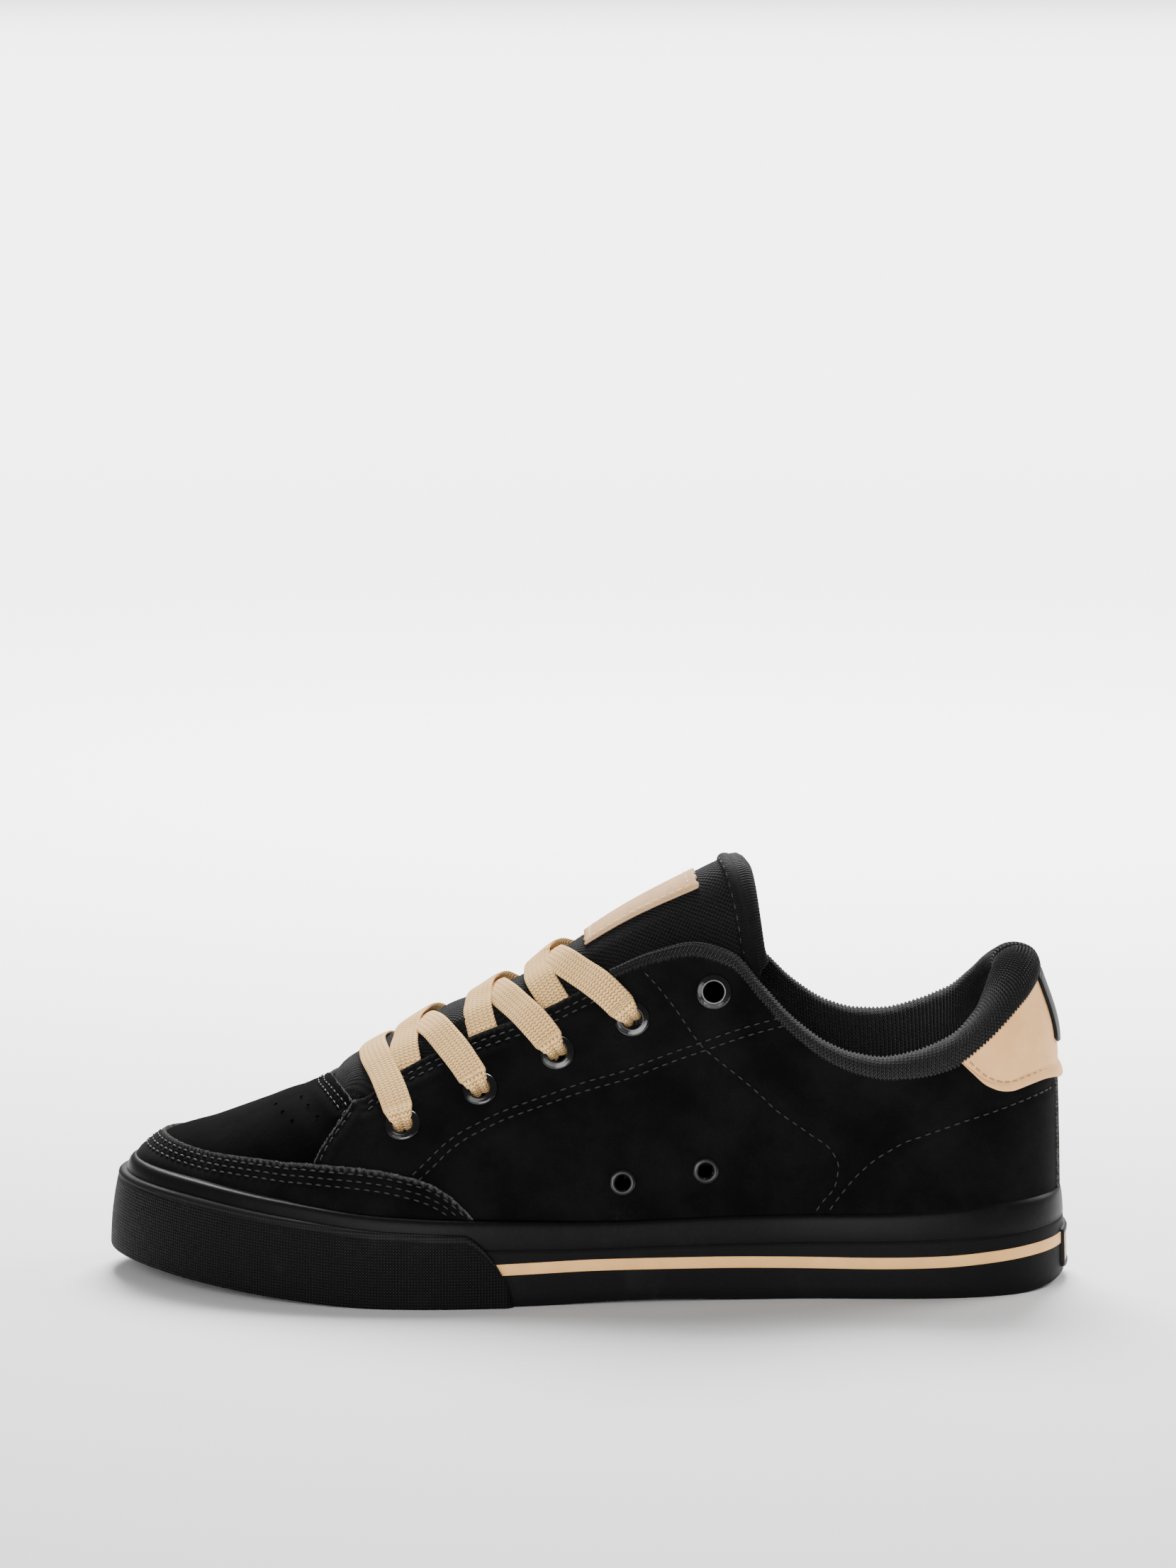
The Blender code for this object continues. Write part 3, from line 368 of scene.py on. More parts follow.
TOE_POLE = 0.903
HEEL_KNEE = 0.270
HEEL_POLE = 0.145
HEEL_TUCK = 0.006
HEEL_BEND = (
    # share of the heel's height or of the length where the back leans forwards, and over how much
    (0.776, 0.306),
    (0.124, 0.101),
)
POLE_START = 0.96
POLE_END = 0.30
THROAT_END = 0.775
TOPLINE = (
    # along, outer height, inner height, height followed
    (0.000, 1.000, 1.000, HEEL_HEIGHT),
    (0.030, 0.998, 1.000, HEEL_HEIGHT),
    (0.052, 0.936, 0.955, HEEL_HEIGHT),
    (0.090, 0.815, 0.868, HEEL_HEIGHT),
    (0.120, 0.746, 0.806, HEEL_HEIGHT),
    (0.160, 0.713, 0.769, HEEL_HEIGHT),
    (0.190, 0.706, 0.757, HEEL_HEIGHT),
    (0.220, 0.722, 0.763, HEEL_HEIGHT),
    (0.250, 0.760, 0.791, HEEL_HEIGHT),
    (0.290, 0.852, 0.872, HEEL_HEIGHT),
    (0.318, 0.944, 0.958, HEEL_HEIGHT),
    (0.352, 0.779, 0.783, INSTEP_HEIGHT),
    (0.390, 0.800, 0.800, INSTEP_HEIGHT),
    (0.430, 0.780, 0.780, INSTEP_HEIGHT),
    (0.474, 0.738, 0.738, INSTEP_HEIGHT),
    (0.545, 0.656, 0.656, INSTEP_HEIGHT),
    (0.620, 0.587, 0.587, INSTEP_HEIGHT),
    (0.700, 0.499, 0.499, INSTEP_HEIGHT),
    (0.735, 0.446, 0.446, INSTEP_HEIGHT),
    (0.750, 0.441, 0.441, INSTEP_HEIGHT),
    (0.769, 0.455, 0.455, INSTEP_HEIGHT),
    (0.775, 0.468, 0.468, INSTEP_HEIGHT),
)


def smooth(at, xs, ys):
    """Monotone cubic through a table's rows: it never overshoots them."""
    xs = np.asarray(xs, float)
    ys = np.asarray(ys, float)
    width = np.diff(xs)
    slope = np.diff(ys) / width
    turn = np.zeros(len(xs))
    same = slope[1:] * slope[:-1] > 0
    before = 2 * width[1:] + width[:-1]
    after = width[1:] + 2 * width[:-1]
    safe_low = np.where(same, slope[:-1], 1.0)
    safe_high = np.where(same, slope[1:], 1.0)
    turn[1:-1] = np.where(same, (before + after) / (before / safe_low + after / safe_high), 0.0)
    turn[0] = slope[0]
    turn[-1] = slope[-1]
    at = np.clip(at, xs[0], xs[-1])
    row = np.clip(np.searchsorted(xs, at, side="right") - 1, 0, len(xs) - 2)
    part = (at - xs[row]) / width[row]
    rise = ys[row + 1] - ys[row]
    start = turn[row] * width[row]
    end = turn[row + 1] * width[row]
    bend = 3 * rise - 2 * start - end
    return ys[row] + part * (start + part * (bend + part * (start + end - 2 * rise)))


def closed_spline(points, count):
    """Periodic cubic spline through a few points, by chord length."""
    points = np.asarray(points, float)
    size = len(points)
    chord = np.linalg.norm(np.roll(points, -1, axis=0) - points, axis=1)
    matrix = np.zeros((size, size))
    right = np.zeros((size, 2))
    for row in range(size):
        before = chord[row - 1]
        after = chord[row]
        matrix[row, row - 1] = after
        matrix[row, row] = 2 * (before + after)
        matrix[row, (row + 1) % size] = before
        right[row] = 3 * (after / before * (points[row] - points[row - 1])
                          + before / after * (points[(row + 1) % size] - points[row]))
    tangent = np.linalg.solve(matrix, right)
    knots = np.concatenate([[0.0], np.cumsum(chord)])
    at = np.linspace(0.0, knots[-1], count, endpoint=False)
    row = np.clip(np.searchsorted(knots, at, side="right") - 1, 0, size - 1)
    part = ((at - knots[row]) / chord[row])[:, None]
    step = chord[row][:, None]
    rise = np.roll(points, -1, axis=0)[row] - points[row]
    start = tangent[row] * step
    end = np.roll(tangent, -1, axis=0)[row] * step
    bend = 3 * rise - 2 * start - end
    return points[row] + part * (start + part * (bend + part * (start + end - 2 * rise)))


def foxing_outline():
    """Plan of the sole: the table's rows as a closed curve from the heel along the outer side."""
    outer = [(row[0], row[1] * row[3]) for row in OUTLINE]
    inner = [(row[0], -row[2] * row[3]) for row in reversed(OUTLINE)]
    points = [(0.0, 0.0)] + outer + [(1.0, TOE_SIDEWAYS * BALL_WIDTH)] + inner
    ring = closed_spline([(along * FOXING_LENGTH, across) for along, across in points], 1600)
    low = ring[:, 0].min()
    high = ring[:, 0].max()
    ring[:, 0] = FOXING_HEEL + (ring[:, 0] - low) / (high - low) * FOXING_LENGTH
    ring[:, 1] -= SHOE_SIDEWAYS * BALL_WIDTH
    return ring


def inset(ring, distance):
    """A closed outline moved inwards."""
    along = unit(np.roll(ring, -1, axis=0) - np.roll(ring, 1, axis=0))
    return ring + np.stack([along[:, 1], -along[:, 0]], axis=1) * distance


def share(x):
    return (np.asarray(x) - FOXING_HEEL) / FOXING_LENGTH


def place(along):
    return FOXING_HEEL + np.asarray(along) * FOXING_LENGTH


def column(table, index, followed=None):
    return [row[index] * (row[followed] if followed is not None else 1) for row in table]


def read(table, at, index=1, followed=None):
    """A table's value at a place between its rows, times the size that it follows."""
    return smooth(at, column(table, 0), column(table, index, followed))


def read_angle(table, u):
    """Angle of a line on the skin, the same on both sides, in radians."""
    return np.radians(read(table, np.abs(u)))


def ease(part):
    """From 0 to 1 with level ends."""
    part = np.clip(part, 0, 1)
    return part ** 2 * (3 - 2 * part)


def spring_line(along):
    return TOE_SPRING * np.clip((along - TOE_BREAK) / (1 - TOE_BREAK), 0, None) ** 1.5


def underside(along):
    arch = np.clip((along - ARCH_START) / (ARCH_END - ARCH_START), 0, 1)
    heel = np.clip((HEEL_FLAT - along) / HEEL_FLAT, 0, 1)
    return spring_line(along) + ARCH_RISE * np.sin(math.pi * arch) ** 2 + HEEL_ROUND * heel ** 2


def sole_top(along):
    return (spring_line(along) + SOLE_HEEL
            + (SOLE_FORE - SOLE_HEEL) * ease((along - ARCH_START) / (ARCH_END - ARCH_START)))


def foxing_top(along):
    return spring_line(along) + FOXING_HEIGHT * read(FOXING, along)


def foxing_lean(along):
    return FOXING_LEAN * read(FOXING, along, 2)


def ridge_height(along):
    return read(LAST, along, 1, 2)


def roundness(along):
    return read(LAST, along, 3)


def ridge_place(along):
    return BALL_WIDTH * (read(LAST, along, 4) - SHOE_SIDEWAYS)


def top_line(along, outer_side):
    return np.where(outer_side, read(TOPLINE, along, 1, 3), read(TOPLINE, along, 2, 3))


def lengths(points, axis=0):
    """Run along each line of a grid, in metres from its first point."""
    step = np.linalg.norm(np.diff(points, axis=axis), axis=-1)
    zero = np.zeros_like(np.take(step, [0], axis=axis))
    return np.cumsum(np.concatenate([zero, step], axis=axis), axis=axis)


class Last:
    """Skin over an outline. Station u is 0 at the heel back and 1 at the toe along the outer side, -1
    along the inner; a rib's section is a superellipse from the feather (angle 0) to the ridge."""

    def __init__(self, ring):
        heel = int(np.argmin(ring[:, 0]))
        turned = np.roll(ring, -heel, axis=0)
        toe = int(np.argmax(turned[:, 0]))
        self.outer = turned[:toe + 1]
        self.inner = np.vstack([turned[toe:], turned[:1]])[::-1]
        arc = lengths(self.outer)
        self.arc = arc / arc[-1]
        self.length = arc[-1]

    def base(self, u):
        u = (np.asarray(u, float) + 1) % 2 - 1
        x = np.interp(np.abs(u), self.arc, self.outer[:, 0])
        outer = np.interp(np.abs(u), self.arc, self.outer[:, 1])
        inner = np.interp(x, self.inner[:, 0], self.inner[:, 1])
        return x, np.where(u >= 0, outer, inner)

    def station(self, x):
        return np.interp(x, self.outer[:, 0], self.arc)

    def spine(self, u):
        """Where a rib meets the ridge: straight across, but gathered to a pole at heel and toe."""
        u = np.abs((np.asarray(u, float) + 1) % 2 - 1)
        x = np.interp(u, self.arc, self.outer[:, 0])
        for knee, pole, end in ((TOE_KNEE, TOE_POLE, 1.0), (HEEL_KNEE, HEEL_POLE, 0.0)):
            start = self.station(place(knee))
            part = np.clip((u - start) / (end - start), 0, 1)
            reach = place(pole) - place(knee)
            first = POLE_START * abs(end - start) * self.length / abs(reach)
            eased = ((part ** 3 - 2 * part ** 2 + part) * first + (3 - 2 * part) * part ** 2
                     + (part ** 3 - part ** 2) * POLE_END)
            x = np.where(part > 0, place(knee) + reach * eased, x)
        return x

    def point(self, u, angle):
        u = np.asarray(u, float)
        angle = np.clip(np.asarray(angle, float), 0, math.pi / 2)
        x, y = self.base(u)
        ridge_x = self.spine(u)
        ridge_y = ridge_place(share(ridge_x))
        power = 2 / roundness(share(ridge_x))
        inwards = np.cos(angle) ** power
        upwards = np.sin(angle) ** power
        px = ridge_x + (x - ridge_x) * inwards
        py = ridge_y + (y - ridge_y) * inwards
        low = sole_top(share(x)) + GAP
        pz = low + (ridge_height(share(px)) - low) * upwards
        lean = ease((pz / HEEL_HEIGHT - HEEL_BEND[0][0]) / HEEL_BEND[0][1])
        px = px + HEEL_TUCK * lean * ease((HEEL_BEND[1][0] - share(px)) / HEEL_BEND[1][1])
        return np.stack([px, py, pz], axis=-1)

    def normal(self, u, angle):
        step = 0.002
        turn = 0.01
        low = np.clip(angle, turn, math.pi / 2 - 2 * turn)
        along = self.point(u + step, low) - self.point(u - step, low)
        up = self.point(u, low + turn) - self.point(u, low - turn)
        return unit(np.cross(up, along))


RING = foxing_outline()
SKIN = Last(inset(RING, FOXING_WALL + SEAT_GAP))
PLAN = Last(RING)


def cut_angle(u, line=top_line):
    """Angle at which each rib meets a line given in the side view; closed ribs run to the ridge."""
    u = np.atleast_1d(np.asarray(u, float))
    angle = np.linspace(0.02, math.pi / 2, 400)
    points = SKIN.point(u[:, None], angle[None, :])
    over = points[..., 2] - line(share(points[..., 0]), (u >= 0)[:, None])
    first = np.argmax(over > 0, axis=1)
    rows = np.arange(len(u))
    before = over[rows, np.maximum(first - 1, 0)]
    part = over[rows, first] / np.maximum(over[rows, first] - before, 1e-9)
    found = angle[first] - part * (angle[first] - angle[np.maximum(first - 1, 0)])
    closed = (share(SKIN.spine(u)) >= THROAT_END) | (over.max(axis=1) <= 0)
    return np.where(closed, math.pi / 2, found)


def angle_at(u, height):
    """Angle of each rib at a height."""
    u, height = np.broadcast_arrays(np.asarray(u, float), np.asarray(height, float))
    angle = np.linspace(0.0, math.pi / 2, 300)
    heights = np.maximum.accumulate(SKIN.point(u.reshape(-1, 1), angle[None, :])[..., 2], axis=1)
    row = np.clip((heights < height.reshape(-1, 1)).sum(axis=1), 1, len(angle) - 1)
    rows = np.arange(len(row))
    low = heights[rows, row - 1]
    part = np.clip((height.ravel() - low) / np.maximum(heights[rows, row] - low, 1e-9), 0, 1)
    return (angle[row - 1] + part * (angle[row] - angle[row - 1])).reshape(u.shape)


# Foxing, stripe and welt line.
# A band of black rubber is wrapped round the sole and cured on it. Its top edge is smooth and shines
# a little, the face below is matte, and a beige strip of rubber runs round the lower part.

FOXING_STATIONS = 520
STRIPE_HEIGHT = 0.0036
STRIPE_STAND = 0.00018
STRIPE = (
    # along, height of its middle over the floor as a share of the foxing height
    (0.000, 0.560),
    (0.030, 0.530),
    (0.075, 0.490),
    (0.130, 0.452),
    (0.200, 0.440),
    (0.280, 0.452),
    (0.370, 0.475),
    (0.480, 0.485),
    (0.560, 0.465),
    (0.640, 0.440),
)
WELT_LINE = 0.655
FOXING_FACE = (
    # share of the height, offset outwards
    (0.0, -0.0012),
    (0.0, -0.0004),
    (0.02, 0.0),
    (0.16, 0.00012),
    (0.33, 0.00015),
    (0.50, 0.00012),
    (WELT_LINE - 0.030, 0.0001),
    (WELT_LINE - 0.008, 0.00005),
    (WELT_LINE, -0.00035),
    (WELT_LINE + 0.008, 0.0),
    (WELT_LINE + 0.035, 0.00018),
    (0.80, 0.00022),
    (0.90, 0.00012),
    (0.955, -0.0001),
    (0.985, -0.0005),
    (1.0, -0.0011),
)
BUMPER_START = 0.574
BUMPER_FULL = 0.624


def plan_normal(stations):
    step = 0.003
    ax, ay = PLAN.base(stations + step)
    bx, by = PLAN.base(stations - step)
    return unit(np.stack([by - ay, ax - bx], axis=-1))


def foxing_face(stations, level, offset):
    """Outer face of the foxing at a share of its height, moved outwards by an offset."""
    x, y = PLAN.base(stations)
    along = share(x)
    low = underside(along)
    height = low + (foxing_top(along) - low) * level
    move = (offset - foxing_lean(along) * np.asarray(level) ** 2)[..., None] * plan_normal(stations)
    return np.stack([x + move[..., 0], y + move[..., 1], height], axis=-1)


def skin_at(stations, heights, offset):
    angles = angle_at(stations, heights)
    return SKIN.point(stations, angles) + offset * SKIN.normal(stations, angles)


rubber = Look("rubber_band", (0.0030, 0.0030, 0.0031), 0.42, Specular_IOR_Level=0.08)
level_mark = rubber.mark("level")
grain = rubber.noise(900, 4, 0.6)
dust = rubber.noise(60, 5, 0.65)
rubber.rough(0.60 - 0.16 * level_mark.ramp(0.66, 0.72) + 0.12 * (dust - 0.5))
rubber.colour(rubber.mix((dust.ramp(0.52, 0.80) * 0.35).clamped(), (0.0040, 0.0040, 0.0041),
                         (0.0150, 0.0147, 0.0143)))
rubber.bump((grain, 0.25, 0.0002), (rubber.noise(140, 3), 0.15, 0.0006))

stations = np.linspace(-1, 1, FOXING_STATIONS, endpoint=False)
along = share(PLAN.base(stations)[0])
profile = []
levels = []
for level, offset in FOXING_FACE:
    profile.append(foxing_face(stations, level, offset))
    levels.append(np.full(len(stations), level))
top = foxing_top(along)
for drop, level in ((0.00002, 1.0), (0.0006, 1.0), (0.0030, 1.0)):
    profile.append(skin_at(stations, top - drop, 0.0002 + (0.0006 if drop < 0.0001 else 0.0)))
    levels.append(np.full(len(stations), level))
foxing = make_grid("foxing_band", np.stack(profile, axis=1), rubber, close_rows=True, flip=True,
                   marks={"level": np.stack(levels, axis=1)})
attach(foxing, "root")
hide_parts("foxing")

stripe_look = Look("stripe_rubber", (0.56, 0.335, 0.15), 0.52, Specular_IOR_Level=0.25)
stripe_look.colour(stripe_look.mix(stripe_look.noise(120, 4).ramp(0.3, 0.8), (0.88, 0.485, 0.176),
                                   (0.78, 0.425, 0.150)))
stripe_look.bump((stripe_look.noise(1200, 3), 0.15, 0.0001))
reach = PLAN.station(place(BUMPER_FULL))
stations = np.linspace(-reach, reach, 420)
along = share(PLAN.base(stations)[0])
middle = FOXING_HEIGHT * read(STRIPE, along)
low = underside(along)
tall = foxing_top(along) - low
rows = []
for part, stand in ((-1.0, -0.0003), (-0.97, 0.6), (-0.85, 1.0), (0.0, 1.1), (0.85, 1.0), (0.97, 0.6),
                    (1.0, -0.0003)):
    level = (middle + part * STRIPE_HEIGHT / 2 - low) / tall
    rows.append(foxing_face(stations, level, 0.00014 + (STRIPE_STAND * stand if stand > 0 else stand)))
stripe = make_grid("foxing_stripe", np.stack(rows, axis=1), stripe_look, flip=True)
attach(stripe, "root")


# Toe bumper.
# A second layer of black rubber is laid round the toe, pressed with a fine diamond relief. Its
# upper edge is a rounded lip and its rear ends are rounded too.

BUMPER_STATIONS = 620
RELIEF_PITCH = 0.00185

bumper_look = Look("bumper_rubber", (0.0032, 0.0032, 0.0033), 0.60, Specular_IOR_Level=0.09)
pattern = bumper_look.split("UV")
across = pattern.part("X") * (2 * math.pi / RELIEF_PITCH)
height = pattern.part("Y") * (2 * math.pi / RELIEF_PITCH)
diamonds = ((across + height).sine() * (across - height).sine() * 0.5 + 0.5).ramp(0.25, 0.85)
wear = bumper_look.noise(70, 5, 0.65)
# The colour follows the relief: the raised diamonds are painted lighter and the grooves between them darker,
# a painted highlight and painted shade; the wear noise adds lighter scuffs at random.
bumper_look.colour(bumper_look.mix((diamonds * 0.6 + wear.ramp(0.5, 0.8) * 0.3).clamped(),
                                   (0.0028, 0.0028, 0.0030), (0.0160, 0.0157, 0.0153)))
bumper_look.rough(0.66 - 0.14 * diamonds)
bumper_look.bump((diamonds * bumper_look.mark("relief"), 1.0, 0.00070),
                 (bumper_look.noise(1400, 3), 0.2, 0.0002))

edge = float(PLAN.station(place(BUMPER_START)))
crowded = np.linspace(0, 1, 60) ** 2 * (PLAN.station(place(BUMPER_FULL)) - edge)
half = np.concatenate([edge + crowded, np.linspace(edge + crowded[-1], 1.0, BUMPER_STATIONS // 2)[1:]])
stations = np.concatenate([half, 2 - half[-2::-1]])
x, y = PLAN.base(stations)
along = share(x)
run = lengths(np.stack([x, y], axis=1))
back = np.clip((BUMPER_FULL - along) / (BUMPER_FULL - BUMPER_START), 0, 1)
round_end = (1 - back ** 1.5) ** 0.7
low = underside(along)
tall = foxing_top(along) - low
full = round_end * (tall - BUMPER_DROP) / tall
thin = np.clip(round_end * 3, 0.25, 1)
rows = []
uvs = []
relief = []
for part, offset, shown in ((0.0, 0.0, 0), (0.0, 0.6, 0), (0.012, 0.92, 0.3), (0.03, 1.0, 1),
                            *((0.03 + 0.84 * k / 12, 1.0, 1) for k in range(1, 13)),
                            (0.895, 1.0, 0.6), (0.915, 0.98, 0.0), (0.925, 0.97, 0), (0.945, 1.06, 0),
                            (0.975, 1.02, 0), (0.992, 0.85, 0), (1.0, 0.55, 0), (1.0, 0.0, 0)):
    rows.append(foxing_face(stations, full * part, GAP * 0.3 + (BUMPER_WALL + GAP * 0.7) * offset * thin))
    uvs.append(np.stack([run, full * part * tall], axis=1))
    relief.append(np.full(len(stations), float(shown)))
bumper = make_grid("toe_bumper_cover", np.stack(rows, axis=1), bumper_look, flip=True,
                   uv=np.stack(uvs, axis=1), marks={"relief": np.stack(relief, axis=1)})
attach(bumper, "root")
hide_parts("toe_bumper")


# Heel plate.
# A small moulded rubber plate is cured on the foxing at the back of the heel. It has a raised black
# frame round a plain beige face.

PLATE_WIDTH = 0.023
PLATE_HEIGHT = 0.0126
PLATE_LOW = 0.0044
PLATE_FRAME = 0.0017

plate_look = Look("plate_face", (0.58, 0.345, 0.160), 0.5, Specular_IOR_Level=0.25)
plate_look.bump((plate_look.noise(900, 3), 0.2, 0.0001))
frame_look = Look("plate_frame", (0.0040, 0.0040, 0.0042), 0.5, Specular_IOR_Level=0.15)
frame_look.bump((frame_look.noise(900, 3), 0.2, 0.0001))


def plate_grid(width, height, low_edge, stands):
    """A rounded rectangle on the heel, from its middle out to its edge: rings of the same shape with
    a stand for each."""
    turn = np.linspace(0, 2 * math.pi, 96, endpoint=False)
    corner = 0.22
    across = np.sign(np.cos(turn)) * np.abs(np.cos(turn)) ** corner
    upward = np.sign(np.sin(turn)) * np.abs(np.sin(turn)) ** corner
    rings = []
    for scale, grow, stand in stands:
        u = across * (width / 2 * scale + grow) / PLAN.length
        z = low_edge + height / 2 + upward * (height / 2 * scale + grow)
        along = share(PLAN.base(u)[0])
        low = underside(along)
        rings.append(foxing_face(u, (z - low) / (foxing_top(along) - low), GAP + stand))
    return np.stack(rings, axis=1)


plate = make_grid("heel_plate_face",
                  plate_grid(PLATE_WIDTH - 2 * PLATE_FRAME, PLATE_HEIGHT - 2 * PLATE_FRAME,
                             PLATE_LOW + PLATE_FRAME,
                             ((0.001, 0, 0.00062), (0.5, 0, 0.00062), (0.92, 0, 0.00062), (1.0, 0, 0.00055),
                              (1.02, 0.0001, 0.0002))), plate_look, close_rows=True)
border = make_grid("heel_plate_frame",
                   plate_grid(PLATE_WIDTH, PLATE_HEIGHT, PLATE_LOW,
                              ((1.0, -PLATE_FRAME - 0.0001, 0.0002), (1.0, -PLATE_FRAME, 0.00075),
                               (1.0, -PLATE_FRAME * 0.75, 0.00095), (1.0, -PLATE_FRAME * 0.3, 0.00095),
                               (1.0, -0.0001, 0.0007), (1.0, 0.0, 0.0003), (1.0, 0.0, -0.0006))),
                   frame_look, close_rows=True)
for piece in (plate, border):
    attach(piece, "root")
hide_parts("heel_plate")


# Outsole and insole.
# The outsole is one slab of black rubber with a grooved tread, kept as constructed. The insole is
# a foam sheet covered with plain dark fabric that lies loose on the sole.

INSOLE_PITCH = 0.0011

tread_look = Look("tread_rubber", (0.0045, 0.0045, 0.0047), 0.7, Specular_IOR_Level=0.12)
tread_look.colour(tread_look.mix(tread_look.noise(80, 5, 0.6).ramp(0.45, 0.8), (0.0085, 0.0085, 0.009),
                                 (0.030, 0.028, 0.026)))
tread_look.bump((tread_look.noise(1100, 4), 0.3, 0.0003))
insole_look = Look("insole_fabric", (0.0060, 0.0060, 0.0064), 0.95, Specular_IOR_Level=0.1, Sheen_Weight=0.1)
insole_place = insole_look.split()
weave = [(insole_place.part(axis) * (2 * math.pi / INSOLE_PITCH)).sine() for axis in ("X", "Y")]
insole_look.colour(insole_look.mix(insole_look.noise(40, 3).ramp(0.3, 0.7), (0.017, 0.017, 0.019),
                                   (0.028, 0.028, 0.030)))
insole_look.bump((weave[0] * weave[1], 0.5, 0.0003), (insole_look.noise(30, 2), 0.3, 0.002))
for node, look in (("outsole", tread_look), ("insole", insole_look)):
    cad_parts[node].data.materials.clear()
    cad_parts[node].data.materials.append(look.material)


# Vamp, quarters and toe overlay.
# The upper is black buffed suede in three layers: a vamp with small holes over the toes, quarters
# that lap over it and meet at the heel, and a toe overlay stitched down with three rows. The cut
# edges are raw and show the paler inside of the hide.

SUEDE = 0.0011
LAP = 0.0008
OVERLAY = 0.0010
OVERLAY_STEP = 0.768
FRONT_CORNER = 0.7025
BACK_ROWS = 24
QUARTER_FRONT = (
    # station, angle in degrees
    (0.7025, 57.4),
    (0.7085, 54.9),
    (0.7151, 51.4),
    (0.7240, 47.0),
    (0.7318, 42.4),
    (0.7385, 36.4),
    (0.7440, 28.0),
    (0.7480, 16.0),
    (0.7500, 4.0),
)
OVERLAY_TOP = (
    # station, angle in degrees
    (0.5780, 4.0),
    (0.5891, 14.6),
    (0.5984, 18.0),
    (0.6151, 22.5),
    (0.6344, 26.0),
    (0.6611, 29.0),
    (0.6938, 31.6),
    (0.7345, 35.4),
    (0.7632, 37.9),
    (0.8225, 44.9),
    (0.8906, 53.9),
    (0.9553, 61.0),
    (1.0000, 63.5),
)
EYELETS = (
    # along, height share of the instep
    (0.690, 0.402),
    (0.610, 0.482),
    (0.530, 0.566),
    (0.452, 0.646),
    (0.368, 0.712),
)
VENTS = (
    (0.462, 0.279),
    (0.376, 0.303),
)
# Rows of station and angle in degrees.
EYESTAY_SEAM = ((0.6478, 28.3), (0.6331, 31.7), (0.6157, 35.4), (0.5964, 37.5), (0.5630, 38.6),
                (0.5130, 37.9), (0.4410, 35.0), (0.3800, 33.4), (0.3195, 32.8), (0.3080, 32.9))
COLLAR_SEAM = ((0.4363, 52.1), (0.4100, 42.3), (0.3823, 32.8), (0.3763, 31.4), (0.3229, 21.3), (0.3169, 20.2),
               (0.2855, 16.1), (0.2640, 13.4), (0.2575, 11.2), (0.2602, 8.8), (0.2728, 6.5), (0.2822, 4.6))
COUNTER_SEAM = ((0.0334, 12.6), (0.0934, 13.0), (0.1448, 13.2), (0.1915, 13.3), (0.2168, 12.3),
                (0.2388, 10.1), (0.2568, 7.2), (0.2702, 4.6))
FRONT_SEAM = ((0.7030, 53.4), (0.7120, 49.4), (0.7230, 44.0), (0.7310, 38.0), (0.7340, 33.0))
VAMP_EDGE = ((0.7031, 57.4), (0.7078, 61.7), (0.7131, 66.7), (0.7191, 73.0), (0.7252, 81.5), (0.7298, 90.0))
VAMP_SEAMS = (
    ((0.7091, 57.2), (0.7145, 61.7), (0.7211, 67.5), (0.7278, 74.5), (0.7352, 84.6), (0.7362, 89.0)),
    ((0.7165, 57.7), (0.7218, 62.4), (0.7278, 68.2), (0.7338, 75.0), (0.7405, 84.6), (0.7416, 89.0)),
)
CREASES = (
    # station, angle in degrees, half length, half width, depth, turn in degrees
    (0.745, 66.0, 0.020, 0.0040, 0.00045, 78),
    (0.775, 60.0, 0.016, 0.0045, 0.00030, 70),
    (0.700, 44.0, 0.010, 0.0030, 0.00025, 60),
    (0.560, 24.0, 0.018, 0.0060, 0.00040, 35),
    (0.470, 25.0, 0.022, 0.0070, 0.00045, 20),
    (0.400, 20.0, 0.020, 0.0060, 0.00035, 150),
    (0.330, 27.0, 0.016, 0.0060, 0.00040, 120),
    (0.230, 16.0, 0.018, 0.0060, 0.00030, 60),
)


def metric(u, angle):
    """How the skin's point moves with the station and with the angle."""
    step = 0.001
    turn = 0.004
    safe = np.clip(angle, turn, math.pi / 2 - turn)
    by_u = (SKIN.point(u + step, safe) - SKIN.point(u - step, safe)) / (2 * step)
    by_angle = (SKIN.point(u, safe + turn) - SKIN.point(u, safe - turn)) / (2 * turn)
    return by_u, by_angle


def skin_curve(table, count=240):
    """A smooth line on the skin through rows of station and angle."""
    rows = np.array([(row[0], math.radians(row[1])) for row in table])
    points = SKIN.point(rows[:, 0], rows[:, 1])
    run = lengths(points)
    at = np.linspace(0.0, run[-1], count)
    return smooth(at, run, rows[:, 0]), smooth(at, run, rows[:, 1])


def beside(curve, distance):
    """The line moved sideways on the skin by a distance, upwards if it is positive."""
    u, angle = curve
    by_u, by_angle = metric(u, angle)
    path = SKIN.point(u, angle)
    side = np.cross(SKIN.normal(u, angle), unit(np.gradient(path, axis=0)))
    side *= np.where(side[:, 2:] < 0, -1.0, 1.0)
    a = (by_u ** 2).sum(1)
    b = (by_u * by_angle).sum(1)
    c = (by_angle ** 2).sum(1)
    p = (by_u * side).sum(1) * distance
    q = (by_angle * side).sum(1) * distance
    whole = a * c - b * b
    return u + (c * p - b * q) / whole, angle + (a * q - b * p) / whole


def throat_curve(start, end, drop, count=200):
    """Line a drop below the quarter's top edge, between two stations."""
    u = np.linspace(start, end, count)
    angle = quarter_top(u)
    scale = np.linalg.norm(metric(u, angle)[1], axis=1)
    return u, angle - drop / scale


def quarter_top(u):
    """Top angle of the quarters: the top line, and ahead of the throat their own front edge."""
    ahead = np.abs(u) > FRONT_CORNER
    cut = cut_angle(np.where(ahead, FRONT_CORNER * np.sign(u), u))
    return np.where(ahead, np.minimum(read_angle(QUARTER_FRONT, u), cut), cut)


def overlay_stand(u):
    """Height of the overlay's back over the skin: over the vamp at the toe, over the quarter behind."""
    return 0.0001 + LAP * ease((OVERLAY_STEP - np.abs((u + 1) % 2 - 1)) / 0.022)


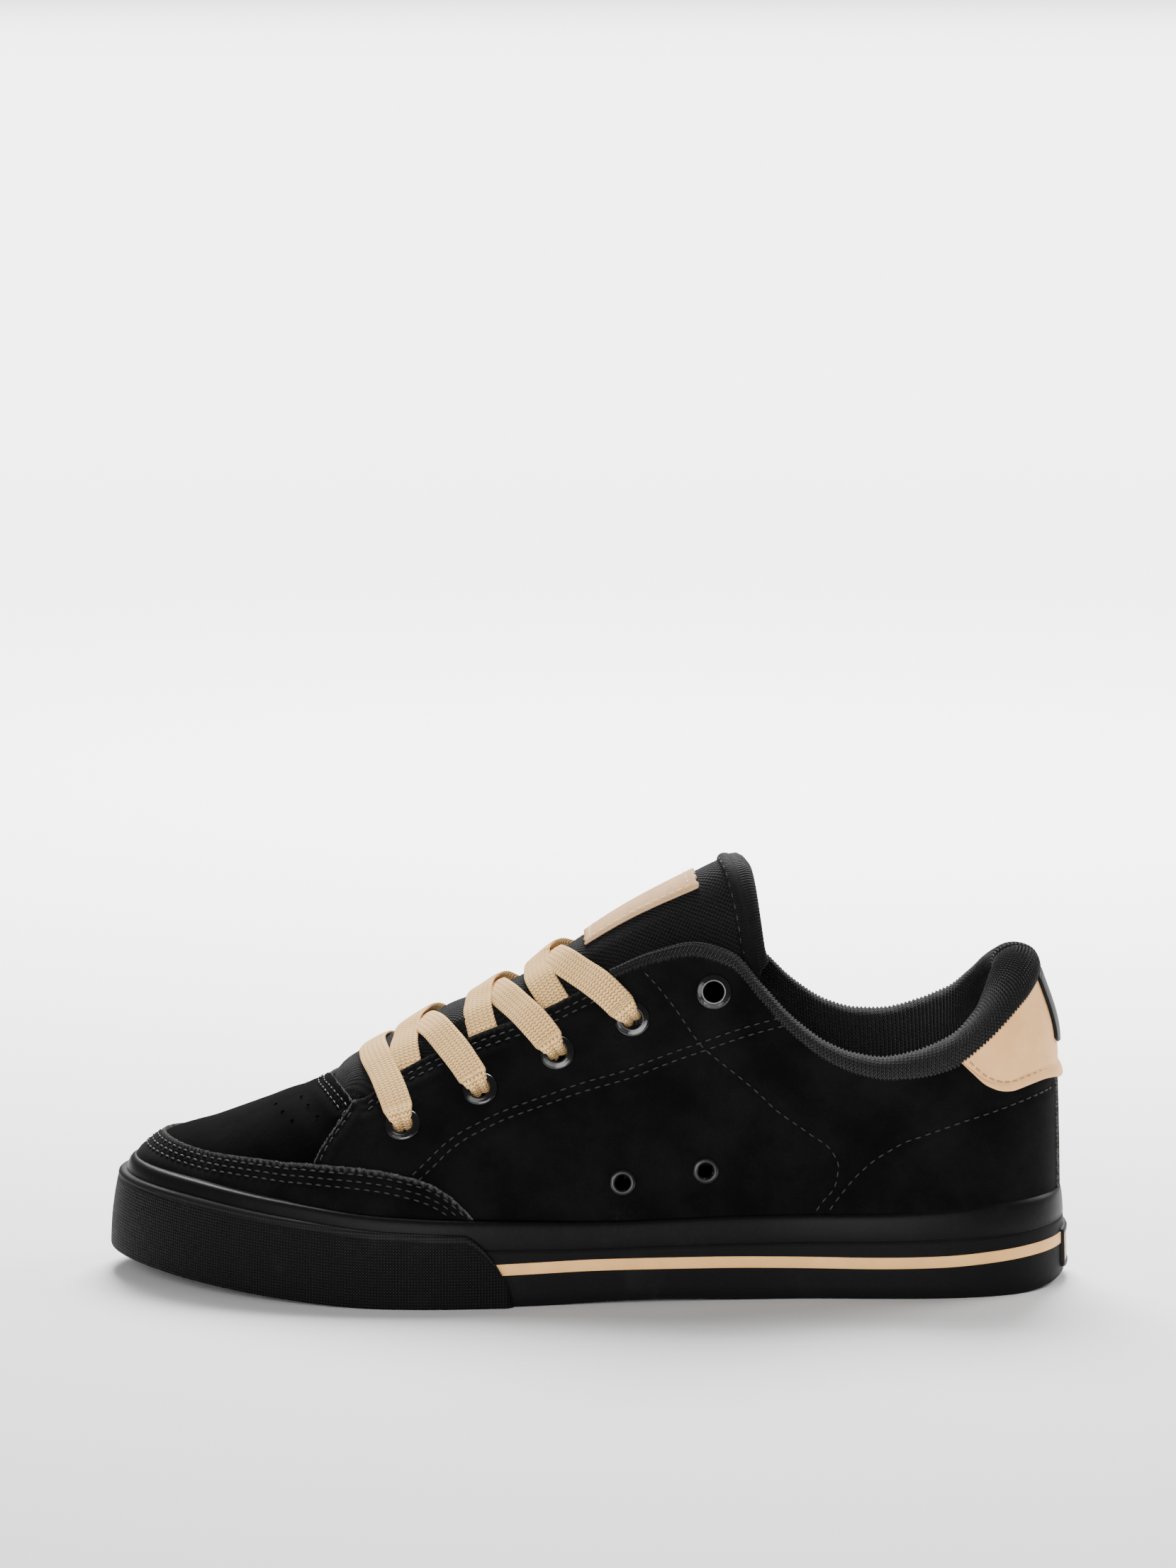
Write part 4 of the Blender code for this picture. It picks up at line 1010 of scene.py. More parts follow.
overlay_edge = skin_curve(OVERLAY_TOP[1:], 400)
overlay_edge = (np.concatenate([overlay_edge[0], 2 - overlay_edge[0][-2::-1]]),
                np.concatenate([overlay_edge[1], overlay_edge[1][-2::-1]]))
seams = []
for sign in (1.0, -1.0):
    for table, gaps in ((EYESTAY_SEAM, (0.0, -0.0026)), (FRONT_SEAM, (0.0, 0.0024)), (COLLAR_SEAM, (0.0,)),
                        (COUNTER_SEAM, (0.0,))):
        for gap in gaps:
            u, angle = beside(skin_curve(table), gap) if gap else skin_curve(table)
            seams.append(((sign * u, angle), "quarter"))
    for drop in (0.0030, 0.0055):
        seams.append((throat_curve(0.690 * sign, 0.478 * sign, drop), "quarter"))
for drop in (0.0021, 0.0043, 0.0065):
    u, angle = overlay_edge
    scale = np.linalg.norm(metric(u, angle)[1], axis=1)
    seams.append(((u, np.maximum(angle - drop / scale, 0.02)), "overlay"))
for rows in VAMP_SEAMS:
    u, angle = skin_curve(rows, 80)
    seams += [((u, angle), "vamp"), ((-u, angle), "vamp")]


def seam_points(layer):
    """Points of a layer's stitch lines on the skin."""
    return np.concatenate([SKIN.point(*curve) for curve, kind in seams if kind == layer])


def nearest(points, others):
    """Distance from each point to the nearest of the others, worked out in blocks."""
    found = np.empty(len(points))
    for start in range(0, len(points), 1500):
        block = points[start:start + 1500]
        square = (block ** 2).sum(1)[:, None] + (others ** 2).sum(1)[None, :] - 2 * block @ others.T
        found[start:start + 1500] = np.sqrt(np.maximum(square.min(axis=1), 0))
    return found


def crease_depth(points):
    """Soft troughs: for each, a long bell across its line and along it."""
    depth = np.zeros(points.shape[:-1])
    for station, degrees, length, width, deep, turn in CREASES:
        for sign in (1.0, -1.0):
            centre = SKIN.point(station * sign, math.radians(degrees))
            by_u, by_angle = metric(np.array(station * sign), np.array(math.radians(degrees)))
            line = (unit(by_u) * sign * math.cos(math.radians(turn))
                    + unit(by_angle) * math.sin(math.radians(turn)))
            across = np.cross(SKIN.normal(np.array(station * sign), np.array(math.radians(degrees))), line)
            offset = points - centre
            depth += deep * np.exp(-((offset @ line) / length) ** 2 - ((offset @ across) / width) ** 2)
    return depth


def leather(u, high, rows, stand, thick, kind):
    """A layer of the upper as a shell over stations: its face from the low to the high angle, a cut
    edge, and its back. Faces sink a little at the stitch lines and swell between them. The second
    result marks the raw edge with 1 and the back with -1."""
    part = 1 - (1 - np.linspace(0, 1, rows)) ** 1.35
    stand = np.broadcast_to(stand, u.shape)
    angle = high[:, None] * part[None, :]
    stations = np.broadcast_to(u[:, None], angle.shape)
    points = SKIN.point(stations, angle)
    normal = SKIN.normal(stations, angle)
    seam = nearest(points.reshape(-1, 3), seam_points(kind)).reshape(angle.shape)
    sink = 0.00034 * np.exp(-(seam / 0.0011) ** 2) - 0.00022 * np.exp(-((seam - 0.0032) / 0.0018) ** 2)
    height = stand[:, None] - sink - crease_depth(points)
    face = points + normal * height[..., None]
    grid = [face]
    from_edge = np.linalg.norm(points - SKIN.point(u, high)[:, None], axis=2)
    fray = 0.00100 + 0.0004 * np.sin(u * 900) + 0.0003 * np.sin(u * 2310 + 1.0)
    marks = [np.clip(1.3 - from_edge / fray[:, None], 0, 1) * 0.8]
    edge_normal = SKIN.normal(u, high)
    edge = SKIN.point(u, high)
    inwards = unit(np.gradient(face, axis=1)[:, -1])
    ragged = 0.00018 * np.sin(u * 2900) + 0.00014 * np.sin(u * 5300 + 1.0)
    for shift, level in ((0.00010, 0.80), (0.00022, 0.35), (0.00016, 0.0), (-0.0001, -0.15)):
        row = edge + inwards * (shift + ragged * (shift > 0))[:, None]
        row += edge_normal * (stand - thick * (1 - level))[:, None]
        grid.append(row[:, None])
        marks.append(np.ones((len(u), 1)))
    angle = high[:, None] * np.linspace(1, 0, BACK_ROWS)[None, :]
    stations = np.broadcast_to(u[:, None], angle.shape)
    grid.append(SKIN.point(stations, angle) + SKIN.normal(stations, angle) * (stand - thick)[:, None, None])
    marks.append(np.full(angle.shape, -1.0))
    return np.concatenate(grid, axis=1), np.concatenate(marks, axis=1)


def weld(piece, distance=0.00002):
    """Merges the points where a shell meets itself."""
    work = bmesh.new()
    work.from_mesh(piece.data)
    bmesh.ops.remove_doubles(work, verts=work.verts, dist=distance)
    bmesh.ops.recalc_face_normals(work, faces=work.faces)
    work.to_mesh(piece.data)
    work.free()


def suede_look(name, low, high, specular, sheen):
    """Buffed suede between two greys, with a paler raw edge where the raw mark says so and a plain
    back where that is negative."""
    suede = Look(name, (0.0028, 0.0028, 0.0029), 0.92, Specular_IOR_Level=specular, Sheen_Weight=sheen,
                 Sheen_Roughness=0.45)
    raw = suede.mark("raw")
    nap = suede.noise(2600, 3, 0.6)
    cloud = suede.noise(55, 4, 0.6)
    speck = suede.noise(1700, 2, 0.5)
    smear = (suede.noise(42, 4, 0.65).ramp(0.60, 0.78) * speck.ramp(0.50, 0.66)).clamped()
    dark = suede.mix(cloud.ramp(0.30, 0.75), (low, low, low * 1.06), (high, high, high * 1.03))
    dusted = suede.mix(smear * 0.35, dark, (0.020, 0.0195, 0.0185))
    cut_face = suede.mix(suede.noise(1500, 3).ramp(0.3, 0.7), (0.030, 0.0293, 0.0282), (0.115, 0.112, 0.107))
    suede.colour(suede.mix((raw * -1.0).clamped(), suede.mix(raw.clamped(), dusted, cut_face),
                           (0.0028, 0.0028, 0.0030)))
    suede.rough(0.95 - 0.08 * cloud)
    suede.bump((nap, 0.35, 0.00025), (suede.noise(420, 4, 0.6), 0.25, 0.0005), (cloud, 0.12, 0.002))
    return suede


# One suede in two copies that differ only for the light: the vamp, which faces the lamps above, gets a darker
# copy, painted shade, and the quarters, toe overlay and back strip, which face the side, get a lighter one,
# painted light. The vamp copy also has less specular and sheen.
suede = suede_look("buffed_suede_painted_lighter", 0.0022, 0.0050, 0.035, 0.014)
vamp_copy_darkened = suede_look("vamp_suede_painted_darker", 0.0010, 0.0024, 0.012, 0.006)

ahead = np.concatenate([np.linspace(0.660, 0.695, 20, endpoint=False),
                        np.linspace(0.695, 0.735, 150, endpoint=False), np.linspace(0.735, 1.0, 150)])
stations = np.concatenate([ahead, 2 - ahead[-2::-1]])
signed = (stations + 1) % 2 - 1
edge = np.radians(np.interp(np.abs(signed), column(VAMP_EDGE, 0), column(VAMP_EDGE, 1)))
cut = np.where(np.abs(signed) < FRONT_CORNER, quarter_top(signed) - math.radians(7), edge)
grid, marks = leather(signed, cut, 84, 0.0001, SUEDE, "vamp")
marks *= (cut < math.radians(89.9))[:, None]
vamp = make_grid("vamp", grid, vamp_copy_darkened, flip=True, marks={"raw": marks})
weld(vamp)

rear = np.concatenate([np.linspace(0.750, 0.695, 120, endpoint=False), np.linspace(0.695, 0.0, 260)])
signed = np.concatenate([rear, -rear[-2::-1]])
grid, marks = leather(signed, quarter_top(signed), 74, LAP + 0.0001, SUEDE, "quarter")
marks *= np.where(np.abs(signed) > 0.70, 1.0, 0.25)[:, None]
quarters = make_grid("quarters", grid, suede, marks={"raw": marks})

half = np.concatenate([np.linspace(0.578, 0.60, 40, endpoint=False), np.linspace(0.60, 1.0, 210)])
stations = np.concatenate([half, 2 - half[-2::-1]])
signed = (stations + 1) % 2 - 1
grid, marks = leather(signed, read_angle(OVERLAY_TOP, signed), 56, overlay_stand(signed) + OVERLAY,
                      OVERLAY + 0.0003, "overlay")
overlay = make_grid("toe_overlay", grid, suede, flip=True, marks={"raw": marks * 0.8})
for piece in (vamp, quarters, overlay):
    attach(piece, "root")
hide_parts("upper")

HOLES = ((0.7832, 77.2), (0.7738, 68.2), (0.7625, 60.1), (0.7558, 75.6), (0.7478, 66.9), (0.7378, 58.1))
# A dark matte material for painted shade in holes, used on the vamp and in the top eyelets.
hole_shade_look = Look("painted_hole_shade", (0.0008, 0.0008, 0.0008), 1.0, Specular_IOR_Level=0.0)


def discs(places, rings, sides=20):
    """Small round forms standing on the skin: each ring is a radius and a height over it."""
    u = np.array([row[0] for row in places])
    angle = np.array([math.radians(row[1]) for row in places])
    centre = SKIN.point(u, angle)
    out = SKIN.normal(u, angle)
    first = unit(np.cross(out, [0.0, 0.0, 1.0]))
    second = np.cross(out, first)
    turn = np.linspace(0, 2 * math.pi, sides, endpoint=False)
    radius = np.array([ring[0] for ring in rings])
    height = np.array([ring[1] for ring in rings])
    flat = np.cos(turn)[:, None, None] * first + np.sin(turn)[:, None, None] * second
    points = (centre + flat[:, None] * radius[None, :, None, None]) + out * height[None, :, None, None]
    return np.moveaxis(points, 2, 0)


def many(name, blocks, look, **closed):
    """Several equal grids as one mesh."""
    blocks = np.asarray(blocks)
    rows, columns = blocks.shape[1:3]
    faces = grid_faces(rows, columns, **closed)
    faces = (faces[None] + (np.arange(len(blocks)) * rows * columns)[:, None, None]).reshape(-1, 4)
    return make_mesh(name, blocks, faces, look)


# The vamp's perforations are not cut: a small dark matte disc stands on the suede at each, painted shade in
# place of the open hole.
places = [(sign * u, angle) for u, angle in HOLES for sign in (1, -1)]
holes = many("vamp_hole_shade_discs", discs(places, ((0.00056, 0.00010), (0.00050, 0.00017), (0.00034, 0.00012),
                                          (0.00001, 0.00008))), hole_shade_look, close_rows=True)
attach(holes, "root")


# Stitching.
# The layers are sewn with dark thread, in double rows along the throat and the eyestay, three rows
# on the toe overlay and single rows at collar and counter. Each stitch is a short bead of thread.

STITCH_PITCH = 0.0031
STITCH_LENGTH = 0.0020
THREAD = 0.00026

thread_look = Look("dark_thread", (0.021, 0.021, 0.022), 0.50, Specular_IOR_Level=0.25)
thread_look.bump((thread_look.noise(2500, 2), 0.4, 0.0002))


def stitches(path, out, pitch, length, radius):
    """Beads along a path: each an ellipsoid-ended cylinder, long axis on the path."""
    run = lengths(path)
    count = max(2, int(run[-1] / pitch))
    at = (np.arange(count) + 0.5) * run[-1] / count

    def between(where, rows):
        return np.stack([np.interp(where, run, rows[:, k]) for k in range(3)], axis=1)

    centre = between(at, path)
    up = unit(between(at, out))
    ahead = unit(between(at + pitch / 2, path) - between(at - pitch / 2, path))
    side = np.cross(up, ahead)
    along = np.array([-0.5, -0.46, -0.34, 0.0, 0.34, 0.46, 0.5])
    thick = np.array([0.05, 0.55, 0.9, 1.0, 0.9, 0.55, 0.05])
    lift = np.array([-0.35, 0.15, 0.55, 0.80, 0.55, 0.15, -0.35])
    turn = np.linspace(0, 2 * math.pi, 7, endpoint=False)
    ring = side[:, None, None] * np.cos(turn)[:, None] + up[:, None, None] * np.sin(turn)[:, None]
    body = centre[:, None] + ahead[:, None] * (along * length)[:, None]
    body += up[:, None] * (lift * radius)[:, None]
    return body[:, :, None] + ring * (thick * radius)[None, :, None, None]


blocks = []
stands = {"quarter": LAP + 0.0001, "vamp": 0.0001}
for curve, kind in seams:
    u, angle = curve
    out = SKIN.normal(u, angle)
    shown = foxing_top(share(SKIN.base(u)[0])) + 0.0004 < SKIN.point(u, angle)[:, 2]
    stand = OVERLAY + overlay_stand(u) if kind == "overlay" else np.full(len(u), stands[kind])
    path = SKIN.point(u, angle) + out * (stand - 0.00022)[:, None]
    if kind == "quarter":
        shown &= angle < quarter_top((u + 1) % 2 - 1) + 0.01
    if shown.sum() > 8:
        blocks.append(stitches(path[shown], out[shown], STITCH_PITCH, STITCH_LENGTH, THREAD))
seam_stitches = many("seam_stitches", np.concatenate(blocks), thread_look, close_columns=True)
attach(seam_stitches, "root")


# Knit collar.
# The collar is a rolled edge of ribbed knit over foam, thick at the heel and thin as a rope along
# the facing. It is sewn behind the suede's top edge, and its lining runs on down inside.

COLLAR = (
    # along, crest above the leather, height followed, roll thickness
    (0.000, 0.080, HEEL_HEIGHT, 0.0130),
    (0.050, 0.088, HEEL_HEIGHT, 0.0120),
    (0.090, 0.085, HEEL_HEIGHT, 0.0105),
    (0.130, 0.076, HEEL_HEIGHT, 0.0090),
    (0.190, 0.055, HEEL_HEIGHT, 0.0076),
    (0.250, 0.045, HEEL_HEIGHT, 0.0066),
    (0.310, 0.041, HEEL_HEIGHT, 0.0056),
    (0.390, 0.024, INSTEP_HEIGHT, 0.0046),
    (0.470, 0.020, INSTEP_HEIGHT, 0.0036),
)
COLLAR_ROLL = (
    # share of the roll's thickness outwards, share of the crest upwards
    (0.10, -0.22),
    (0.19, 0.16),
    (0.14, 0.58),
    (-0.14, 0.92),
    (-0.50, 1.00),
    (-0.84, 0.78),
    (-1.00, 0.25),
)
COLLAR_FRONT = 0.476
LINING_DEPTH = 0.030
RIB_PITCH = 0.00128
RIB_HEIGHT = 0.00030
RIB_SAMPLES = 6


def collar_value(along, index, followed=None):
    return read(COLLAR, along, index, followed)


def loft(rows, count):
    """Curve through rows of points: each span is the cubic that leaves a point half way along the
    line from its last neighbour to its next."""
    rows = np.stack(rows, axis=1)
    ends = np.concatenate([2 * rows[:, :1] - rows[:, 1:2], rows, 2 * rows[:, -1:] - rows[:, -2:-1]], axis=1)
    at = np.linspace(0, rows.shape[1] - 1, count)
    span = np.minimum(at.astype(int), rows.shape[1] - 2)
    t = (at - span)[None, :, None]
    a, b, c, d = (ends[:, span + k] for k in range(4))
    return 0.5 * (2 * b + (c - a) * t + (2 * a - 5 * b + 4 * c - d) * t ** 2
                  + (3 * b - a - 3 * c + d) * t ** 3)


def grid_normal(grid):
    """Unit normal of a grid of points, from its differences both ways."""
    out = np.cross(np.gradient(grid, axis=0), np.gradient(grid, axis=1))
    return out / np.maximum(np.linalg.norm(out, axis=-1), 1e-12)[..., None]


end = float(SKIN.station(place(COLLAR_FRONT)))
coarse = np.linspace(-end, end, 801)
edge = SKIN.point(coarse, cut_angle(coarse))
run = lengths(edge)
ribs = int(run[-1] / RIB_PITCH)
samples = np.linspace(0, run[-1], ribs * RIB_SAMPLES + 1)
u = np.interp(samples, run, coarse)
cut = cut_angle(u)
edge = SKIN.point(u, cut)
along = share(edge[:, 0])
out = SKIN.normal(u, cut)
up = unit(edge - SKIN.point(u, cut * 0.97))
crest = collar_value(along, 1, 2)[:, None]
roll = collar_value(along, 3)[:, None]
rows = [edge - out * 0.0004 - up * 0.0030, edge + out * 0.0004 - up * 0.0012]
rows += [edge + out * (roll * across + 0.0006) + up * crest * rise for across, rise in COLLAR_ROLL]
depth = LINING_DEPTH / np.linalg.norm(edge - SKIN.point(u, cut * 0.5), axis=1) / 2
for part, inwards in ((0.12, 1.0), (0.30, 0.86), (0.55, 0.55), (0.80, 0.25), (1.0, 0.0)):
    angle = cut * (1 - part * depth)
    rows.append(SKIN.point(u, angle) - (0.0013 + roll * inwards) * SKIN.normal(u, angle))
grid = loft(rows, 52)
normal = grid_normal(grid)
part = np.linspace(0, 1, 52)[None, :]
strength = np.clip((0.93 - part) / 0.15, 0.15, 1) * np.clip((part - 0.02) / 0.06, 0, 1)
slant = (0.5 + 1.6 * np.clip((along - 0.26) / 0.10, 0, 1))[:, None]
phase = (samples[:, None] / RIB_PITCH + slant * part * 3 * np.sign(u)[:, None]) * 2 * math.pi
ropy = (1 + 0.9 * np.clip((along - 0.28) / 0.10, 0, 1))[:, None]
loops = 0.00005 * np.sin(lengths(grid, 1) / 0.0011 * 2 * math.pi)
grid = grid + normal * ((RIB_HEIGHT * ropy * np.cos(phase) + loops) * strength)[..., None]

knit = Look("ribbed_knit", (0.0045, 0.0043, 0.0050), 0.95, Specular_IOR_Level=0.07, Sheen_Weight=0.14,
            Sheen_Roughness=0.5)
rib = knit.mark("rib")
fuzz = knit.noise(1500, 3, 0.7)
# The colour follows the ribs: their crests are painted lighter and the troughs between them darker, a painted
# highlight and painted shade over the real ridges; the fuzz noise varies the tone at random.
knit.colour(knit.mix(rib * 0.75 + fuzz * 0.35, (0.0006, 0.0006, 0.0007), (0.0125, 0.0119, 0.0134)))
surface = knit.split("UV")
stitch_run = surface.part("X") * (2 * math.pi / RIB_PITCH)
stitch_down = surface.part("Y") * (2 * math.pi / 0.0011)
knit.bump(((stitch_down + stitch_run.sine() * 1.4).sine(), 0.55, 0.0003), (fuzz, 0.45, 0.0003))
collar_uv = np.stack([np.broadcast_to(samples[:, None], grid.shape[:2]), lengths(grid, 1)], axis=-1)
collar = make_grid("knit_collar", grid, knit, uv=collar_uv, marks={"rib": 0.5 + 0.5 * np.cos(phase)})
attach(collar, "root")
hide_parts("collar")


# Heel tab and back strip.
# A tab of smooth beige leather wraps the top of the heel, sewn in a row above its flared lower
# edge. A plain black rubber patch covers its middle, and a narrow suede strip runs down to the sole.

TAB_LOW = (
    # station, angle in degrees
    (0.0000, 13.35),
    (0.0200, 13.3),
    (0.0400, 13.7),
    (0.0600, 14.1),
    (0.0801, 14.3),
    (0.0934, 14.4),
    (0.1034, 14.7),
    (0.1207, 16.0),
    (0.1334, 17.8),
    (0.1434, 19.5),
    (0.1495, 20.8),
)
TAB_STAND = LAP + 0.0012
TAB_THICK = 0.0013
PATCH_HALF = 0.0275
PATCH_LOW = 0.0750
PATCH_HIGH = 0.0958
STRIP_HALF = 0.0170


def pillow(top, bottom, blunt=0.8):
    """Closed grid round a sheet: the top, a wall half way at each edge, and the back, with its first
    and last rows drawn to the middle. The second result marks the walls."""
    middle = (top + bottom) / 2
    thick = np.linalg.norm(top - bottom, axis=-1)

    def outwards(line, beside):
        away = line - beside
        return away / np.maximum(np.linalg.norm(away, axis=-1), 1e-12)[..., None]

    last = middle[:, -1] + outwards(middle[:, -1], middle[:, -2]) * thick[:, -1:] * 0.5 * blunt
    first = middle[:, 0] + outwards(middle[:, 0], middle[:, 1]) * thick[:, :1] * 0.5 * blunt
    loops = np.concatenate([top, last[:, None], bottom[:, ::-1], first[:, None]], axis=1)
    flat = np.concatenate([middle, last[:, None], middle[:, ::-1], first[:, None]], axis=1)
    size = np.concatenate([thick, thick[:, -1:], thick[:, ::-1], thick[:, :1]], axis=1)[..., None]
    ends = []
    for row, beside in ((0, 1), (-1, -2)):
        away = outwards(flat[row], flat[beside])
        half = size[row] * 0.5 * blunt
        ends.append([flat[row] + (loops[row] - flat[row]) * math.cos(turn) + away * half * math.sin(turn)
                     for turn in (0.6, 1.15, math.pi / 2)])
    grid = np.concatenate([np.stack(ends[0][::-1]), loops, np.stack(ends[1])], axis=0)
    walls = np.zeros(grid.shape[:2])
    walls[:3] = walls[-3:] = 1
    walls[:, top.shape[1]] = walls[:, -1] = 1
    return grid, walls


def make_pillow(name, top, bottom, look, blunt=0.8, uv=None):
    grid, walls = pillow(top, bottom, blunt)
    if uv is not None:
        pad = np.concatenate([uv, uv[:, -1:], uv[:, ::-1], uv[:, :1]], axis=1)
        uv = np.concatenate([pad[:1]] * 3 + [pad] + [pad[-1:]] * 3, axis=0)
    made = make_grid(name, grid, look, close_columns=True, uv=uv, marks={"raw": walls})
    weld(made)
    return made


def skin_patch(stations, low, high, rows, stand, thick):
    """Top and bottom of a sheet that lies on the skin between two angles."""
    part = np.linspace(0, 1, rows)[None, :]
    angle = low[:, None] + (high - low)[:, None] * part
    wide = np.broadcast_to(stations[:, None], angle.shape)
    base = SKIN.point(wide, angle)
    out = SKIN.normal(wide, angle)
    stand = np.broadcast_to(stand, angle.shape)[..., None]
    return base + out * stand, base + out * (stand - thick)


tab_leather = Look("tab_leather", (0.60, 0.34, 0.165), 0.62, Specular_IOR_Level=0.25)
pebble = tab_leather.cells(1500)
blotch = tab_leather.noise(90, 4, 0.6)
tab_face = tab_leather.mix(blotch.ramp(0.3, 0.7), (0.80, 0.437, 0.173), (0.90, 0.507, 0.209))
tab_cut = tab_leather.mix(tab_leather.noise(1300, 3).ramp(0.35, 0.65), (0.07, 0.062, 0.052),
                          (0.20, 0.175, 0.145))
tab_leather.colour(tab_leather.mix(tab_leather.mark("raw").ramp(0.45, 0.8), tab_face, tab_cut))
tab_leather.rough(0.66 - 0.10 * blotch)
tab_leather.bump((pebble, 0.16, 0.00012), (tab_leather.noise(500, 3), 0.18, 0.0003))

reach = np.linspace(0.10, TAB_LOW[-1][0], 200)
half = float(reach[read_angle(TAB_LOW, reach) < cut_angle(reach) - 0.008].max())
u = np.linspace(-half, half, 171)
low = read_angle(TAB_LOW, u)
high = cut_angle(u) + 0.004
low = np.minimum(low, high - 0.012)
part = np.linspace(0, 1, 61)[None, :]
flare = 0.0009 * np.exp(-(part * 26 / 2.4) ** 2) * (1 + 0.5 * np.cos(u * math.pi / half))[:, None]
dimple = 0.00030 * np.exp(-((part * 26 - 3.1) / 0.9) ** 2)
below = (1 - part) * ((high - low) * np.linalg.norm(metric(u, high)[1], axis=1))[:, None]
hug = 0.0010 * np.clip(1 - below / 0.0028, 0, 1)
top, bottom = skin_patch(u, low, high, 61, TAB_STAND + flare - dimple - hug, TAB_THICK)
uv = np.stack([lengths(top, 0), lengths(top, 1)], axis=-1)
heel_tab = make_pillow("heel_tab", top, bottom, tab_leather, blunt=0.5, uv=uv)

badge_look = Look("plain_patch", (0.0035, 0.0035, 0.0037), 0.55, Specular_IOR_Level=0.15)
badge_look.rough(0.50 + 0.12 * badge_look.noise(120, 3))
badge_look.bump((badge_look.noise(900, 3), 0.2, 0.0002))
u = np.linspace(-PATCH_HALF, PATCH_HALF, 33)
rise = 0.0016 * (np.abs(u) / PATCH_HALF) ** 4
low = angle_at(u, PATCH_LOW + rise)
high = np.minimum(angle_at(u, PATCH_HIGH - rise), cut_angle(u) - 0.006)
top, bottom = skin_patch(u, low, high, 25, TAB_STAND + 0.0011, 0.0011)
heel_patch = make_pillow("heel_patch", top, bottom, badge_look)

u = np.linspace(-STRIP_HALF, STRIP_HALF, 17)
low = np.full(len(u), math.radians(1.2))
high = read_angle(TAB_LOW, u) + 0.03
top, bottom = skin_patch(u, low, high, 60, LAP + 0.0009, 0.0009)
back_strip = make_pillow("back_strip", top, bottom, suede)

tab_thread = Look("beige_thread", (0.42, 0.26, 0.12), 0.5, Specular_IOR_Level=0.3)
u = np.linspace(-half + 0.006, half - 0.006, 200)
low = read_angle(TAB_LOW, u)
scale = np.linalg.norm(metric(u, low)[1], axis=1)
angle = np.minimum(low + 0.0026 / scale, cut_angle(u) - 0.002)
path = SKIN.point(u, angle) + SKIN.normal(u, angle) * (TAB_STAND - 0.00025)
beads = stitches(path, SKIN.normal(u, angle), 0.0027, 0.0023, 0.00034)
tab_stitches = many("tab_stitches", beads, tab_thread, close_columns=True)
for piece, slot in ((heel_tab, "plate_beige"), (heel_patch, "rubber_black"), (back_strip, "nubuck_black"),
                    (tab_stitches, "plate_beige")):
    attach(piece, "root")


# Tongue.
# The tongue is a soft pad of black basket-weave canvas that rises out of the vamp. Its free end is
# bound with twill, sewn in one row, and a plain beige leather label is stitched on its ridge.

TONGUE = (
    # along, crest, height followed, half width, drop, reach in degrees
    (0.353, 1.000, INSTEP_HEIGHT, 0.198, 0.290, 82),
    (0.391, 0.957, INSTEP_HEIGHT, 0.207, 0.296, 80),
    (0.460, 0.874, INSTEP_HEIGHT, 0.236, 0.305, 76),
    (0.540, 0.753, INSTEP_HEIGHT, 0.285, 0.320, 66),
    (0.575, 0.702, INSTEP_HEIGHT, 0.293, 0.312, 63),
    (0.610, 0.667, INSTEP_HEIGHT, 0.300, 0.300, 60),
    (0.645, 0.638, INSTEP_HEIGHT, 0.296, 0.276, 59),
    (0.680, 0.592, INSTEP_HEIGHT, 0.290, 0.250, 58),
    (0.735, 0.530, INSTEP_HEIGHT, 0.270, 0.190, 58),
    (0.760, 0.494, INSTEP_HEIGHT, 0.256, 0.165, 58),
    (0.775, 0.456, INSTEP_HEIGHT, 0.250, 0.150, 58),
    (0.825, 1.130, TOE_HEIGHT, 0.225, 0.110, 58),
)
TONGUE_DROOP = 0.008
TONGUE_THIN = 0.004
TONGUE_THICK = 0.008
TONGUE_FREE = 0.003
TONGUE_EASE = 0.010
TONGUE_BLEND = 0.002
TONGUE_FLAT = 0.35
TONGUE_PROUD = 0.0036
TONGUE_ASIDE = 0.0045
VAMP_FRONT = 0.0805
VAMP_BEND = 0.0088
VAMP_HALF = 0.028
VAMP_DIP = 0.0052
QUARTER_DIP = 0.0085
BINDING = 0.0125
CANVAS_PITCH = 0.00078
TWILL_PITCH = 0.00095
LABEL_START = 0.391
LABEL_END = 0.503
LABEL_HALF = 0.0112
LABEL_INSET = 3


def skin_half(x, height, outer_side):
    """Half width of the skin at a height: the ellipse of the rib through the place."""
    along = share(x)
    base_y = SKIN.base(SKIN.station(x) * np.where(outer_side, 1.0, -1.0))[1]
    low = sole_top(along) + 0.0003
    power = roundness(along)
    upwards = np.clip((height - low) / (ridge_height(along) - low), 0, 1)
    return np.abs(base_y - ridge_place(along)) * (1 - upwards ** power) ** (1 / power)


def skin_height(x, across):
    """Height of the skin over a place, from its distance to the ridge."""
    along = share(x)
    base_y = SKIN.base(SKIN.station(x) * np.where(across >= 0, 1.0, -1.0))[1]
    low = sole_top(along) + 0.0003
    power = roundness(along)
    sideways = np.clip(np.abs(across / (base_y - ridge_place(along))), 0, 1)
    return low + (ridge_height(along) - low) * (1 - sideways ** power) ** (1 / power)


